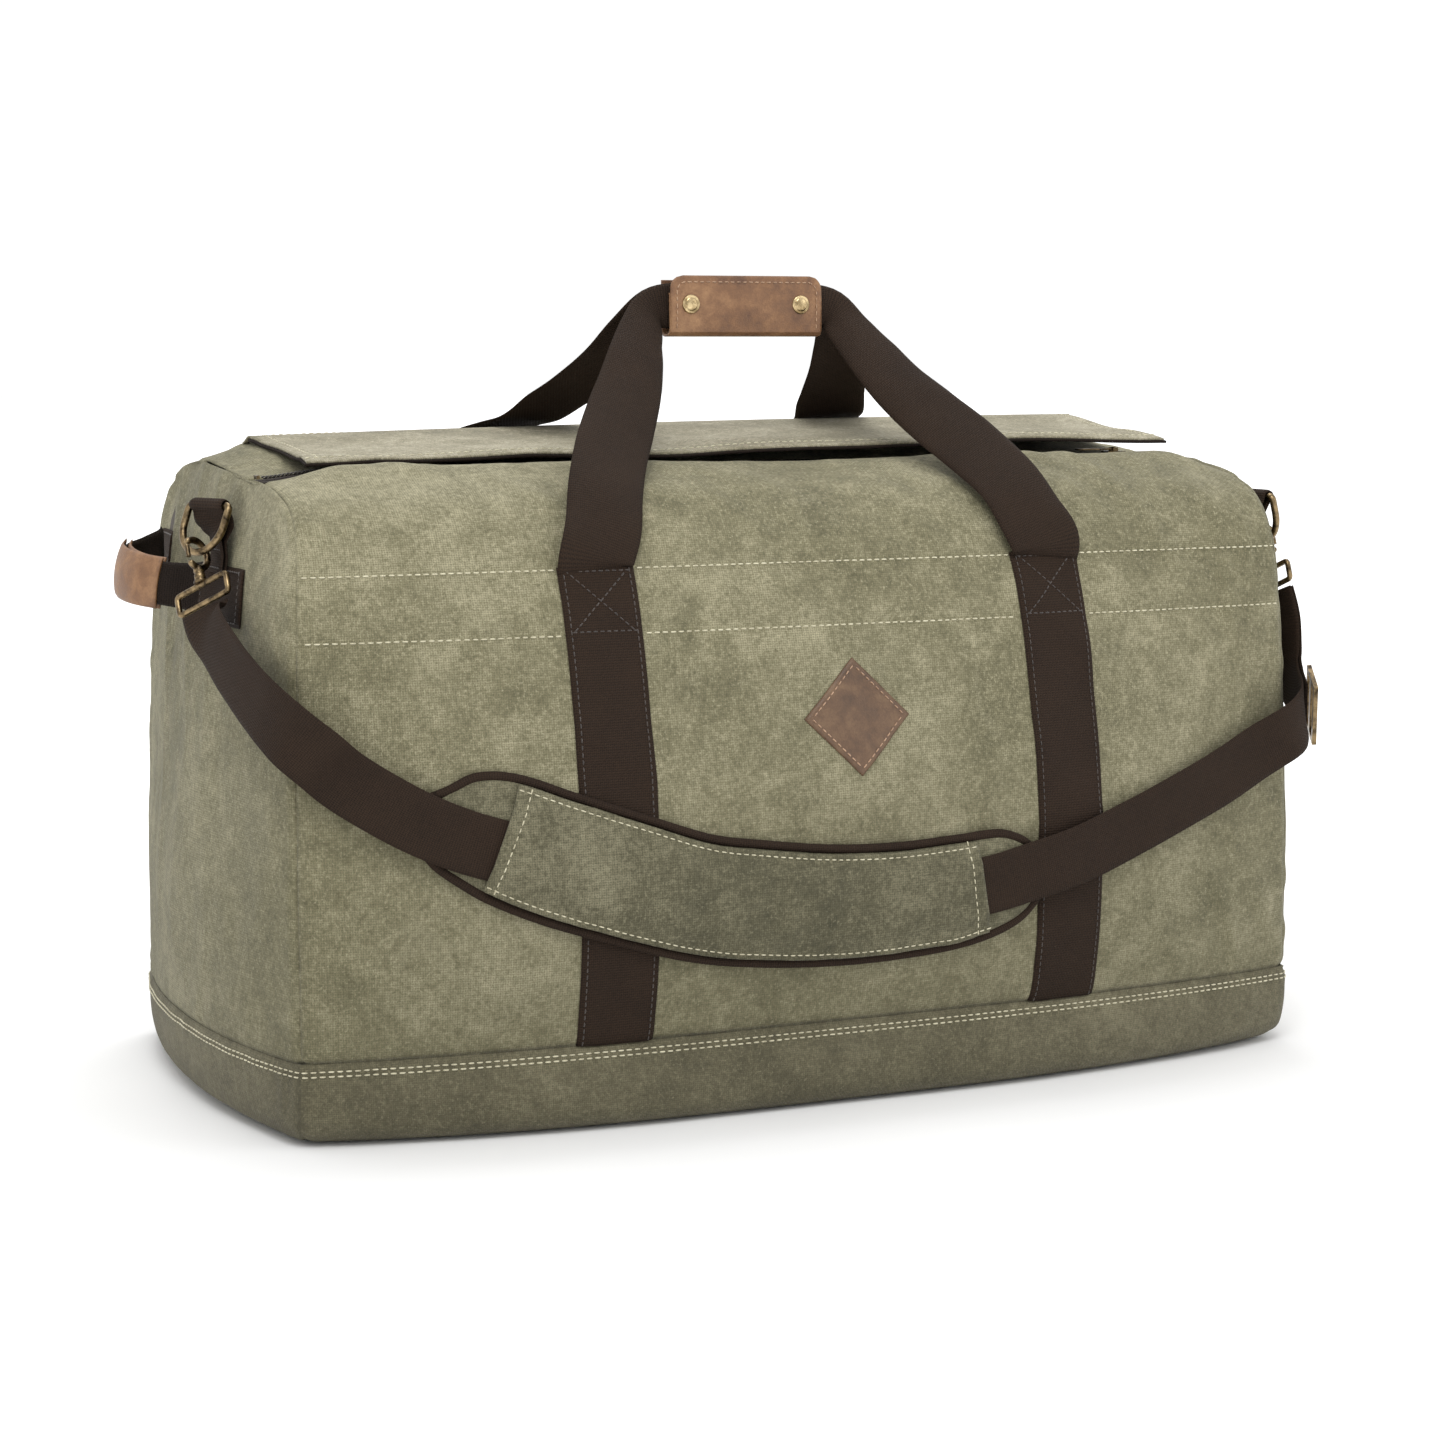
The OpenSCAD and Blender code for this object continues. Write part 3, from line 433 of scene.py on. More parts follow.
M = NT("board"); o_ = M.obj(); M.l(M.ramp(M.noise(o_, 90, 4), [(0.3, lin(36, 32, 29)), (0.7, lin(60, 54, 49))]), M.b.inputs["Base Color"]); M.b.inputs["Roughness"].default_value = 0.7; M.bump(M.noise(o_, 500, 3), 0.3, 0.0003)

# ------------------------------------------------------------------ body surface (same table as the CAD model, mm)
ROWS = [[53, 53, 0, 182, 208, 28], [100, 100, 0, 182, 217, 27], [150, 150, 0, 181, 219, 25], [200, 200, 1, 180, 216, 22],
        [250, 250, 2, 178, 206, 19], [304, 304, 4, 175, 192, 15], [343, 343, 6, 171, 176, 11], [366, 368, 8, 163, 163, 9],
        [382, 387, 10, 147, 145, 7], [391, 399, 11, 122, 120, 5], [395, 405.5, 12, 98, 98, 3], [396, 401, 12, 76, 76, 1]]
RROWS = [[53, 53, 0, 182, 208, 28], [100, 100, 0, 182, 217, 27], [150, 150, 0, 181, 219, 25], [200, 200, 1, 180, 216, 22],
         [250, 250, 2, 178, 206, 19], [304, 304, 4, 175, 192, 15], [343, 343, 6, 171, 176, 11], [366, 369, 8, 164, 164, 9],
         [384, 391, 10, 148, 147, 7], [396, 405, 11, 123, 122, 5], [403, 414, 12, 96, 96, 3], [406, 418, 12, 50, 50, 1],
         [402, 411, 12, 4, 4, 1], [397, 401, 12, -44, -44, 1]]
L = 352.0
RA, RB = np.array(ROWS, float) , np.array(RROWS, float)
def bow(u): return 1 - np.minimum(1, np.abs(u)) ** 3
def flatu(u): return 1 - smooth((np.abs(u) - 0.85) / 0.16)
def liftf(u, t): return mix(bow(u), flatu(u), smooth((t - 8) / 2))
def bulge(w): return 1 - np.abs(2 * w - 1) ** 2.2

def side_pts(R, s, u, t):
    r = catmull(R, t)
    z = mix(r[..., 0], r[..., 1], liftf(u, t))
    return np.stack([(L - r[..., 2]) * u, s * mix(r[..., 3], r[..., 4], bow(u)), z], -1) * MM

def end_pts(e, w, t):
    f = catmull(RA, t); r = catmull(RB[:12], t)
    return np.stack([e * (L - f[..., 2] + f[..., 5] * bulge(w)), mix(-f[..., 3], r[..., 3], w), mix(f[..., 0], r[..., 0], w)], -1) * MM

def row_params(R, t0, t1, step):
    """Row parameters from t0 to t1 spaced evenly along the middle profile."""
    T = np.linspace(t0, t1, 900); p = catmull(R, T)
    d = np.r_[0, np.cumsum(np.hypot(np.diff(p[:, 4]), np.diff(p[:, 1])))]
    n = max(4, int(d[-1] / (step * 1000)))
    return np.interp(np.linspace(0, d[-1], n + 1), d, T), np.linspace(0, d[-1], n + 1) * MM

def seam_dir(s, e, t):
    """Outward direction at the corner seam between a side (s) and an end (e)."""
    R = RA if s < 0 else RB[:12]
    a = catmull(R, np.minimum(t + 0.02, 11)); b = catmull(R, np.maximum(t - 0.02, 0))
    dy, dz = (a[..., 3] - b[..., 3]), (a[..., 0] - b[..., 0])
    n = np.stack([np.zeros_like(dy), s * dz, -dy], -1)
    n = unit(n); n[..., 0] = e * 0.9
    return unit(n)

STEP = 0.0032
def wrinkles(x, z, seed):
    d = 0.0016 * fbm(x * 5, z * 5, octaves=2, seed=seed)
    d = d + 0.0007 * fbm(x * 22, z * 16, octaves=3, seed=seed + 5)
    d = d + 0.0016 * np.maximum(0, fbm((x + z * 0.8) * 30, (z - x * 0.8) * 8, octaves=2, seed=seed + 17))
    return d

def side_panel(s):
    R = RA if s < 0 else RB
    t1 = 11.0 if s < 0 else 13.0
    T, arc = row_params(R, 0, t1, STEP)
    U = np.linspace(-1, 1, int(2 * L * MM / STEP) + 1)
    t, u = np.meshgrid(T, U, indexing="ij")
    P = side_pts(R, s, u, t)
    N = grid_normals(P) * (1 if s < 0 else -1)
    x, z = P[..., 0], P[..., 2]
    a = np.broadcast_to(arc[:, None], x.shape)
    ex = (1 - np.abs(u)) * L * MM                    # distance to the corner seams
    eb = a                                           # distance to the base seam
    et = arc[-1] - a                                 # distance to the zip edge
    fade = smooth(ex / 0.03) * smooth(eb / 0.02) * smooth(et / 0.02)
    d = wrinkles(x + (3 if s > 0 else 0), a, 3 if s < 0 else 9) * fade
    # puckers where the cloth is gathered into a seam
    for dist, k, sd, amp in ((eb, 95, 21, 0.0008), (ex, 80, 31, 0.0011)):
        along = x if dist is eb else a
        pk = vnoise(along * k, dist * 9, 0.5, sd)
        d = d + amp * pk * np.exp(-dist / 0.016) * smooth(dist / 0.004)
    # stitched lines across the panel
    if s < 0:
        for z0, sd in ((0.304, 41), (0.343, 43)):
            q = z - z0
            d = d - 0.0007 * np.exp(-(q / 0.0016) ** 2) + 0.0006 * vnoise(x * 90, z * 6, 0.2, sd) * np.exp(-np.abs(q) / 0.010) * smooth(np.abs(q) / 0.002)
        # soft diagonal tension creases down from the top edge and up from the base corners
        for (cx, cz, ang, ln, amp) in ((-0.315, 0.075, 62, 0.07, 0.0016), (-0.29, 0.06, 75, 0.05, 0.0013), (0.30, 0.075, 118, 0.06, 0.0014), (-0.05, 0.06, 96, 0.04, 0.0009),
                                       (0.10, 0.065, 84, 0.05, 0.0010), (-0.27, 0.375, 50, 0.05, 0.0012), (0.24, 0.372, 128, 0.06, 0.0013), (0.30, 0.33, 100, 0.06, 0.0012)):
            ca, sa = math.cos(math.radians(ang)), math.sin(math.radians(ang))
            lx = (x - cx) * ca + (z - cz) * sa; ly = -(x - cx) * sa + (z - cz) * ca
            ly = ly + 0.004 * np.sin(lx * 40)
            g = np.exp(-(lx / ln) ** 2) * (np.exp(-(ly / 0.006) ** 2) - 0.6 * np.exp(-((ly - 0.011) / 0.009) ** 2))
            d = d + amp * g * fade
    P = P + N * d[..., None]
    # edges tuck into the seams
    for e in (-1, 1):
        de = (1 - e * u) * L * MM
        k = np.exp(-(de / 0.0038) ** 2) * smooth((11.2 - t) / 0.8)
        dirn = mix(N, seam_dir(s, e, np.minimum(t, 11)), np.exp(-de / 0.004)[..., None])
        P = P - unit(dirn) * (0.0034 * k)[..., None]
    kb = np.exp(-(eb / 0.0028) ** 2)
    nh = N.copy(); nh[..., 2] = 0
    P = P - unit(nh) * (0.0022 * kb)[..., None]
    kt = np.exp(-(et / 0.003) ** 2)
    P[..., 2] -= 0.0012 * kt
    W = np.stack([x, a + (0 if s < 0 else 2)], -1)
    if s > 0: P, W, N = P[:, ::-1], W[:, ::-1], N[:, ::-1]
    V, F, Wv = slab(P, W, 0.0, -0.0016, None)
    return V, F, Wv, P

V, F, W, FRONT = side_panel(-1)
add_mesh("front_canvas", V, F, "canvas", "bag", W, replaces=["front_panel"], slot="canvas")
front_bvh = BVHTree.FromPolygons([tuple(v) for v in V[:len(V) // 2]], [f for f in F if max(f) < len(V) // 2])
V, F, W, REAR = side_panel(1)
add_mesh("rear_canvas", V, F, "canvas", "bag", W, replaces=["rear_panel"], slot="canvas")
rear_bvh = BVHTree.FromPolygons([tuple(v) for v in V[:len(V) // 2]], [f for f in F if max(f) < len(V) // 2])

def end_panel(e):
    T, arc = row_params(RA, 0, 11.0, STEP)
    Wn = np.linspace(0, 1, 112)
    t, w = np.meshgrid(T, Wn, indexing="ij")
    P = end_pts(e, w, t)
    N = grid_normals(P) * e
    y, z = P[..., 1], P[..., 2]
    a = np.broadcast_to(arc[:, None], y.shape)
    half = (catmull(RA, t)[..., 3] + catmull(RB[:12], t)[..., 3]) / 2 * MM
    ey0, ey1 = w * 2 * half, (1 - w) * 2 * half
    eb = z - 0.053; et = arc[-1] - a
    ee = np.minimum(ey0, ey1)
    fade = smooth(ee / 0.025) * smooth(eb / 0.02) * smooth(et / 0.02)
    d = 0.0022 * fbm(y * 6 + 5, z * 3, octaves=2, seed=60 + e) * fade
    # long soft vertical folds, deeper towards the top where the panel is gathered
    fold = ridge(y * 17 + 0.5 * np.sin(z * 9), z * 3.2, seed=71 + e)
    d = d + 0.0028 * np.clip(fold - 0.35, -0.3, 1) * fade * mix(0.55, 1.0, smooth((z - 0.1) / 0.25))
    fold2 = ridge(y * 9 + z * 5, z * 6 - y * 2, seed=75 + e)
    d = d + 0.0016 * np.clip(fold2 - 0.4, -0.2, 1) * fade
    d = d + 0.0007 * fbm(y * 26, z * 16, octaves=3, seed=80) * fade
    for dist, along, k, sd, amp in ((ee, a, 80, 33, 0.0013), (eb, y, 90, 35, 0.0010), (et, y, 70, 37, 0.0016)):
        d = d + amp * vnoise(along * k, dist * 9, 0.5, sd) * np.exp(-dist / 0.018) * smooth(dist / 0.004)
    P = P + N * d[..., None]
    for s, de in ((-1, ey0), (1, ey1)):
        k = np.exp(-(de / 0.0038) ** 2)
        dirn = mix(N, seam_dir(s, e, t), np.exp(-de / 0.004)[..., None])
        P = P - unit(dirn) * (0.0034 * k * smooth((11.2 - t) / 0.8))[..., None]
    nh = N.copy(); nh[..., 2] = 0
    P = P - unit(nh) * (0.0022 * np.exp(-(eb / 0.0028) ** 2))[..., None]
    P[..., 2] -= 0.0018 * np.exp(-(et / 0.004) ** 2)
    Wt = np.stack([y, a + 5 * e], -1)
    if e < 0: P, Wt = P[:, ::-1], Wt[:, ::-1]
    V, F, Wv = slab(P, Wt, 0.0, -0.0016)
    return V, F, Wv
ends = {}
for e, nm in ((-1, "left"), (1, "right")):
    V, F, W = end_panel(e)
    add_mesh(nm + "_end_canvas", V, F, "canvas", "bag", W, replaces=[nm + "_end_panel"], slot="canvas")
    ends[e] = BVHTree.FromPolygons([tuple(v) for v in V[:len(V) // 2]], [f for f in F if max(f) < len(V) // 2])

# ---- base band
BASE = np.array([[53.0, 0, 182, 208, 28], [44, 0, 182, 210, 28], [34, 0, 182, 213, 28], [24, 0, 180.5, 215.5, 27.5], [14, 1, 178, 216, 26], [8, 2.4, 174.5, 214, 24.5], [4, 5, 170, 210, 21.5], [1.2, 8.5, 164, 204.5, 17], [0, 13, 156, 197, 11]])
def base_ring(k_t, q):
    """q in 0..4 round the ring: front, right, rear, left."""
    b = catmull(BASE, k_t)
    z, h, c, m, eb = b[..., 0], L - b[..., 1], b[..., 2], b[..., 3], b[..., 4]
    side = np.floor(q).astype(int) % 4; f = q - np.floor(q)
    u = 2 * f - 1
    X = np.where(side == 0, h * u, np.where(side == 1, h + eb * bulge(f), np.where(side == 2, -h * u, -h - eb * bulge(f))))
    Y = np.where(side == 0, -mix(c, m, bow(u)), np.where(side == 1, mix(-c, c, f), np.where(side == 2, mix(c, m, bow(u)), mix(c, -c, f))))
    return np.stack([X, Y, z], -1) * MM
kt = np.linspace(0, 8, 31)
q = np.concatenate([np.linspace(0, 1, 220, endpoint=False), 1 + np.linspace(0, 1, 112, endpoint=False), 2 + np.linspace(0, 1, 220, endpoint=False), 3 + np.linspace(0, 1, 112, endpoint=False)])
kk, qq = np.meshgrid(kt, q, indexing="ij")
P = base_ring(kk, qq)
nxt = np.roll(P, -1, 1) - np.roll(P, 1, 1); dv = np.gradient(P, axis=0)
N = unit(np.cross(nxt, -dv))
per = np.r_[0, np.cumsum(np.linalg.norm(np.diff(P[2], axis=0), axis=1))]
pp = np.broadcast_to(per[None], kk.shape)
zz_ = P[..., 2]
top = 0.053 - zz_
cornd = np.abs(qq - np.round(qq)) * np.where((np.floor(qq) % 2) == 0, 0.704, 0.364)
d = 0.0009 * fbm(pp * 9, zz_ * 14, octaves=3, seed=90) * smooth(zz_ / 0.012) * smooth(top / 0.01)
d = d + 0.0010 * vnoise(pp * 85, zz_ * 12, 0.1, 92) * np.exp(-top / 0.014) * smooth(top / 0.004)
d = d + 0.0022 * np.clip(ridge(pp * 26, zz_ * 30, 95) - 0.45, -0.1, 1) * np.exp(-(cornd / 0.05) ** 2) * smooth(zz_ / 0.01) * smooth(top / 0.012)
P = P + N * d[..., None]
nh = N.copy(); nh[..., 2] = 0
P = P - unit(nh) * (0.0022 * np.exp(-(top / 0.0028) ** 2))[..., None]
kc = np.exp(-(cornd / 0.003) ** 2) * smooth(top / 0.003)
P = P - N * (0.0018 * kc)[..., None]
P[..., 2] = np.maximum(P[..., 2], 0.0)
BASEP, BASEN, BPER = P, N, pp
m, n = P.shape[:2]
inner = P - N * 0.0018
inner[..., 2] = np.maximum(inner[..., 2], 0.0004)
V = np.concatenate([P.reshape(-1, 3), inner.reshape(-1, 3)])
I = np.arange(m * n).reshape(m, n); J = np.roll(I, -1, 1)
F = np.stack([I[1:], J[1:], J[:-1], I[:-1]], -1).reshape(-1, 4).tolist()
F += (np.stack([I[:-1], J[:-1], J[1:], I[1:]], -1).reshape(-1, 4) + m * n).tolist()
F += np.stack([I[0], J[0], J[0] + m * n, I[0] + m * n], 1).tolist()
F += np.stack([J[-1], I[-1], I[-1] + m * n, J[-1] + m * n], 1).tolist()
Wb = np.stack([pp, zz_ + 9], -1).reshape(-1, 2)
add_mesh("base_band_canvas", V, F, "base_canvas", "bag", np.concatenate([Wb, Wb]), replaces=["base_band"], slot="base_canvas")
# floor of the bag, a flat canvas piece
fl = P[-1]
cen = np.array([0, 0, 0.0])
rings = [fl * np.array([k, k, 1]) for k in (1.0, 0.8, 0.6, 0.4, 0.2)]
Vf = [r + np.array([0, 0, 0.0]) for r in rings] + [cen[None]]
for r in Vf: r[:, 2] = 0.0003
nv = len(fl)
Ff = []
for k in range(4):
    for j in range(nv):
        j2 = (j + 1) % nv
        Ff.append([k * nv + j, (k + 1) * nv + j, (k + 1) * nv + j2, k * nv + j2])
for j in range(nv): Ff.append([4 * nv + j, 5 * nv, 4 * nv + (j + 1) % nv])
Vt = np.concatenate(Vf); tot = len(Vt)
Vt2 = Vt.copy(); Vt2[:, 2] = 0.0022
Ff2 = [[i + tot for i in f[::-1]] for f in Ff]
rim = [[j, (j + 1) % nv, (j + 1) % nv + tot, j + tot] for j in range(nv)]
add_mesh("base_floor_canvas", np.concatenate([Vt, Vt2]), Ff + Ff2 + rim, "base_canvas", "bag", np.concatenate([Vt[:, :2], Vt2[:, :2]]), replaces=["base_floor"], slot="base_canvas", smooth_=False)

# ---- helpers that lay things on the finished front
def hit_front(x, z, default_n=(0, -1, 0)):
    h = front_bvh.ray_cast(Vector((x, -1.0, z)), Vector((0, 1, 0)))
    return np.array(h[0]), np.array(h[1]) * (1 if h[1][1] < 0 else -1)
def hit_side(s, x, z):
    b = front_bvh if s < 0 else rear_bvh
    h = b.ray_cast(Vector((x, s * 1.0, z)), Vector((0, -s, 0)))
    if h[0] is None: h = b.find_nearest(Vector((x, s * 0.2, z)))
    nn = np.array(h[1]); nn = nn if nn[1] * s > 0 else -nn
    return np.array(h[0]), nn
def hit_end(e, y, z):
    h = ends[e].ray_cast(Vector((e * 1.0, y, z)), Vector((-e, 0, 0)))
    if h[0] is None: h = ends[e].find_nearest(Vector((e * 0.4, y, z)))
    nn = np.array(h[1]); nn = nn if nn[0] * e > 0 else -nn
    return np.array(h[0]), nn

def smooth_grid(G, k=1):
    for _ in range(k):
        G2 = G.copy()
        G2[1:-1] = (G[:-2] + 2 * G[1:-1] + G[2:]) / 4
        G = G2.copy()
        G2[:, 1:-1] = (G[:, :-2] + 2 * G[:, 1:-1] + G[:, 2:]) / 4
        G = G2
    return G

def laid(name, s, XZ, thick, off, mat, body, replaces=(), slot=None, edge=5, wv=None, hit=None, endedge=False):
    """Piece laid on the body: XZ grid (m, n, 2) of positions, columns across."""
    hit = hit or (lambda a, b: hit_side(s, a, b))
    m, n = XZ.shape[:2]
    G = np.zeros((m, n, 3)); N = np.zeros((m, n, 3))
    for i in range(m):
        for j in range(n):
            G[i, j], N[i, j] = hit(XZ[i, j, 0], XZ[i, j, 1])
    G = smooth_grid(G, 3); N = unit(smooth_grid(N, 6))
    a = np.linspace(-1, 1, n)
    prof = (1 - np.abs(a) ** (2 * edge)) ** 0.5
    H = np.broadcast_to(prof[None, :], (m, n)).copy()
    if endedge:
        b = np.linspace(-1, 1, m)
        H = H * ((1 - np.abs(b) ** (2 * edge)) ** 0.5)[:, None]
    Wv = XZ if wv is None else wv
    V, F, W = slab(G, Wv, off + thick * (0.15 + 0.85 * H), off, N)
    c = np.cross(V[F[0][1]] - V[F[0][0]], V[F[0][2]] - V[F[0][0]])
    if (c * N[0, 0]).sum() < 0: F = [f[::-1] for f in F]
    ob = add_mesh(name, V, F, mat, body, W, replaces=replaces, slot=slot)
    return G + N * (off + thick), N

# ---- handle webbing sewn to front and rear
zs = np.linspace(0.0535, 0.3445, 98)
dark_lines, light_lines = [], []
for s, fr in ((-1, "front"), (1, "rear")):
    for e, side in ((-1, "left"), (1, "right")):
        xs = e * 0.158 + np.linspace(-0.025, 0.025, 15)
        XZ = np.stack(np.meshgrid(xs, zs), -1)
        wvv = np.stack([XZ[..., 1], XZ[..., 0] - e * 0.158], -1)
        G, Nn = laid(f"{fr}_run_{side}_webbing", s, XZ, 0.0017, 0.0004, "webbing", "bag", [f"{fr}_run_{side}"], "webbing", wv=wvv)
        for j in (1, 13):
            dark_lines.append((G[:, j] - Nn[:, j] * 0.0002, Nn[:, j]))
        # box and cross between the two stitch lines
        iz = [int(np.argmin(abs(zs - v))) for v in (0.306, 0.341)]
        for i in iz: dark_lines.append((G[i, 1:14] - Nn[i, 1:14] * 0.0001, Nn[i, 1:14]))
        k = np.linspace(0, 1, 24)
        for flip in (0, 1):
            ii = iz[0] + k * (iz[1] - iz[0]); jj = 1.5 + (1 - k if flip else k) * 11
            i0 = np.clip(ii.astype(int), 0, 96); j0 = np.clip(jj.astype(int), 0, 13)
            fi, fj = (ii - i0)[:, None], (jj - j0)[:, None]
            pl = mix(mix(G[i0, j0], G[i0, j0 + 1], fj), mix(G[i0 + 1, j0], G[i0 + 1, j0 + 1], fj), fi)
            dark_lines.append((pl, Nn[i0, j0]))

# ---- stitch lines on the canvas
def front_line(z, x0, x1, s=-1, n=160, lift=0.0001):
    pts, ns = [], []
    for x in np.linspace(x0, x1, n):
        p, nn = hit_side(s, x, z); pts.append(p + nn * lift); ns.append(nn)
    return np.array(pts), np.array(ns)
for s in (-1, 1):
    for z in (0.304, 0.343):
        for (a, b) in ((-0.342, -0.185), (-0.131, 0.131), (0.185, 0.342)):
            light_lines.append(front_line(z, a, b, s, 120))
# two rows of topstitching round the base band, just under the seam
for k in (0.0048, 0.0078):
    zt_ = 0.053 - k
    zrow = BASEP[:, 0, 2]
    f = np.interp(-zt_, -zrow, np.arange(len(zrow)))
    i0 = int(f); ff = f - i0
    line = mix(BASEP[i0], BASEP[i0 + 1], ff); nn = unit(mix(BASEN[i0], BASEN[i0 + 1], ff))
    line = np.concatenate([line, line[:1]]); nn = np.concatenate([nn, nn[:1]])
    light_lines.append((line + nn * 0.0001, nn))
stitches("canvas_topstitch", light_lines, "thread_light", "bag", length=0.0036, gap=0.0017, r=0.00052)
stitches("webbing_topstitch", dark_lines, "thread_dark", "bag", length=0.0030, gap=0.0014, r=0.00042)

# ------------------------------------------------------------------ zip
ZY, ZT = -0.060, 0.401
def zz(x): return ZT - 0.0045 * smooth((np.abs(x) - 0.29) / 0.05)
for nm, y0, y1 in (("front", -0.080, -0.0609), ("rear", -0.0591, -0.040)):
    xs = np.linspace(-0.3385, 0.3385, 260); ys = np.linspace(y0, y1, 12)
    X, Y = np.meshgrid(xs, ys)
    Z = zz(X) - 0.0012 + 0.0002 * vnoise(X * 120, Y * 60, 0, 5)
    P = np.stack([X, Y, Z], -1)
    V, F, W = slab(P, np.stack([X, Y], -1), 0.0003, -0.0005)
    add_mesh(f"zip_tape_{nm}_woven", V, F, "tape", "bag", W, replaces=[f"zip_tape_{nm}"], slot="zip_tape")
    # the coil: a flattened spiral sewn along the tape's edge
    turns = 250; t = np.linspace(0, turns, turns * 8 + 1)
    xx = -0.333 + 0.666 * t / turns
    yc = ZY + (-0.0021 if nm == "front" else 0.0021)
    yy = yc + 0.0017 * np.cos(2 * np.pi * t + (0 if nm == "front" else np.pi))
    zz2 = zz(xx) + 0.0011 + 0.0008 * np.sin(2 * np.pi * t)
    tube(f"zip_coil_{nm}_spiral", np.stack([xx, yy, zz2], 1), 0.00042, "coil_plastic", "bag", nseg=5, replaces=[f"zip_coil_{nm}"], slot="zip_coil")

# ------------------------------------------------------------------ flap
HY = 0.050
def zr(x): x = x * 1000; return (426.5 + 4 * x / 310 - 2 * (x / 310) ** 2) * MM
def zf(x): x = x * 1000; return (412 + 3 * x / 310) * MM
def flapz(x, y): return mix(zf(x), zr(x), np.clip((y + 0.080) / (HY + 0.080), 0, 1) ** 0.8)
def flap_shape(X, Y):
    Z = flapz(X, Y)
    fr = smooth((Y + 0.080) / 0.09)                 # 0 at free edge, 1 towards the hinge
    hinge = smooth((HY - Y) / 0.02)
    Z = Z + 0.0022 * fbm(X * 7, Y * 9, octaves=2, seed=101) * hinge * mix(0.9, 0.5, fr)
    Z = Z + 0.0011 * np.clip(ridge(X * 11 + Y * 20, Y * 8, 105), -0.2, 1) * hinge
    Z = Z + 0.0009 * np.sin(X * 31 + 1.0) * (1 - fr)
    return Z
xs = np.linspace(-0.310, 0.311, 212); ys = np.linspace(-0.080, HY + 0.0005, 46)
X, Y = np.meshgrid(xs, ys)
# plan outline: ends drawn in a little towards the middle
endpull = 0.004 * np.sin(np.pi * (Y + 0.08) / 0.13)
X = X * (1 - (endpull / 0.31) * smooth((np.abs(X) - 0.27) / 0.04))
Z = flap_shape(X, Y)
edge_d = np.minimum(np.minimum(X - X[:, :1], X[:, -1:] - X), Y + 0.080)
Z = Z - 0.0008 * np.exp(-(edge_d / 0.0022) ** 2) - 0.0006 * np.exp(-((edge_d - 0.008) / 0.0014) ** 2)
P = np.stack([X, Y, Z], -1)
V, F, W = slab(P, np.stack([X, Y + 3], -1), 0.0002, -0.0012)
flap_ob = add_mesh("flap_canvas_top", V, F, "flap_canvas", "flap", W, replaces=["top_flap"], slot="canvas")
# dark facing under the flap, showing as a narrow edge: a real dark underside binding, and also painted shade standing
# in for the shadow gap under the flap's edge
ed = 1.004
Xf = X * 1.004; Yf = np.where(Y < -0.0, Y - 0.0012 * smooth((-0.05 - Y) / 0.03), Y)
P2 = np.stack([Xf, Yf, Z - 0.0014], -1)
V, F, W = slab(P2, np.stack([X, Y + 3], -1), 0.0, -0.0016)
add_mesh("flap_facing_and_painted_gap_shade", V, F, "webbing_dark", "flap", W, slot="webbing")
fl_lines = []
Nf = grid_normals(P)
ii = int(round(0.008 / (ys[1] - ys[0])))
fl_lines.append((P[ii] + Nf[ii] * 0.0003, Nf[ii]))
for jj in (3, -4):
    fl_lines.append((P[ii:, jj] + Nf[ii:, jj] * 0.0003, Nf[ii:, jj]))
stitches("flap_topstitch", fl_lines, "thread_light", "flap", length=0.0034, gap=0.0018, r=0.00042)
# sewn rear strip of the flap
ys2 = np.linspace(HY - 0.0005, HY + 0.0155, 12); X2, Y2 = np.meshgrid(np.linspace(-0.311, 0.311, 212), ys2)
drop = smooth((Y2 - HY) / 0.016)
surf = []
def rear_top(x, y):
    h = rear_bvh.ray_cast(Vector((x, y, 1.0)), Vector((0, 0, -1)))
    return h[0][2]
zs_end = np.array([rear_top(float(x), HY + 0.0155) for x in X2[0]])
Z2 = mix(flap_shape(X2, Y2 * 0 + HY), zs_end[None, :] + 0.0012, drop)
P3 = np.stack([X2, Y2, Z2], -1)
V, F, W = slab(P3, np.stack([X2, Y2 + 3], -1), 0.0002, -0.0012)
add_mesh("flap_hinge_strip", V, F, "flap_canvas", "bag", W, replaces=["flap_seam_strip"], slot="canvas")
N3 = grid_normals(P3)
stitches("flap_strip_topstitch", [(P3[8] + N3[8] * 0.0003, N3[8]), (P3[4] + N3[4] * 0.0003, N3[4])], "thread_light", "bag", length=0.0034, gap=0.0018, r=0.00045)

# ------------------------------------------------------------------ carry handles
def other(P): return [[-p[0] + 6 * max(0, min(1, (p[0] + 97) / 34)), p[1], p[2]] for p in P][::-1]
FL = [[-158, -177.4, 341], [-157.6, -181.2, 351], [-150, -174.5, 370], [-142, -160, 392], [-128, -136, 414], [-112, -113, 434], [-97, -93, 454], [-84, -74, 474], [-74, -58, 489.5], [-63, -45.2, 502.5], [-48, -44.2, 505], [-25, -44, 505]]
FN = [[0, -1, 0], [0, -1, 0], [0, -1, 0.3], [0, -1, 0.4], [0, -1, 0.4], [0, -1, 0.4], [0, -1, 0.4], [0, -1, 0.3], [0, -1, 0.2], [0, -1, 0], [0, -1, 0], [0, -1, 0]]
FW = [50, 50, 50, 50, 50, 49, 46, 41, 34, 28, 30, 30]
FC = [0.02, 0.05, 0.15, 0.25, 0.3, 0.35, 0.45, 0.5, 0.5, 0.3, 0.1, 0.05]
RL = [[-158, 178.4, 341], [-157.6, 181.2, 351], [-152, 174.5, 372], [-147, 158, 393], [-139, 132, 407.5], [-130, 102, 418.7], [-122, 76, 425.8], [-113, 50, 431.8], [-104, 30, 444], [-95, 8, 456], [-84, -14, 473], [-75, -28, 489], [-63, -39.9, 502.5], [-48, -40.8, 505], [-25, -41, 505]]
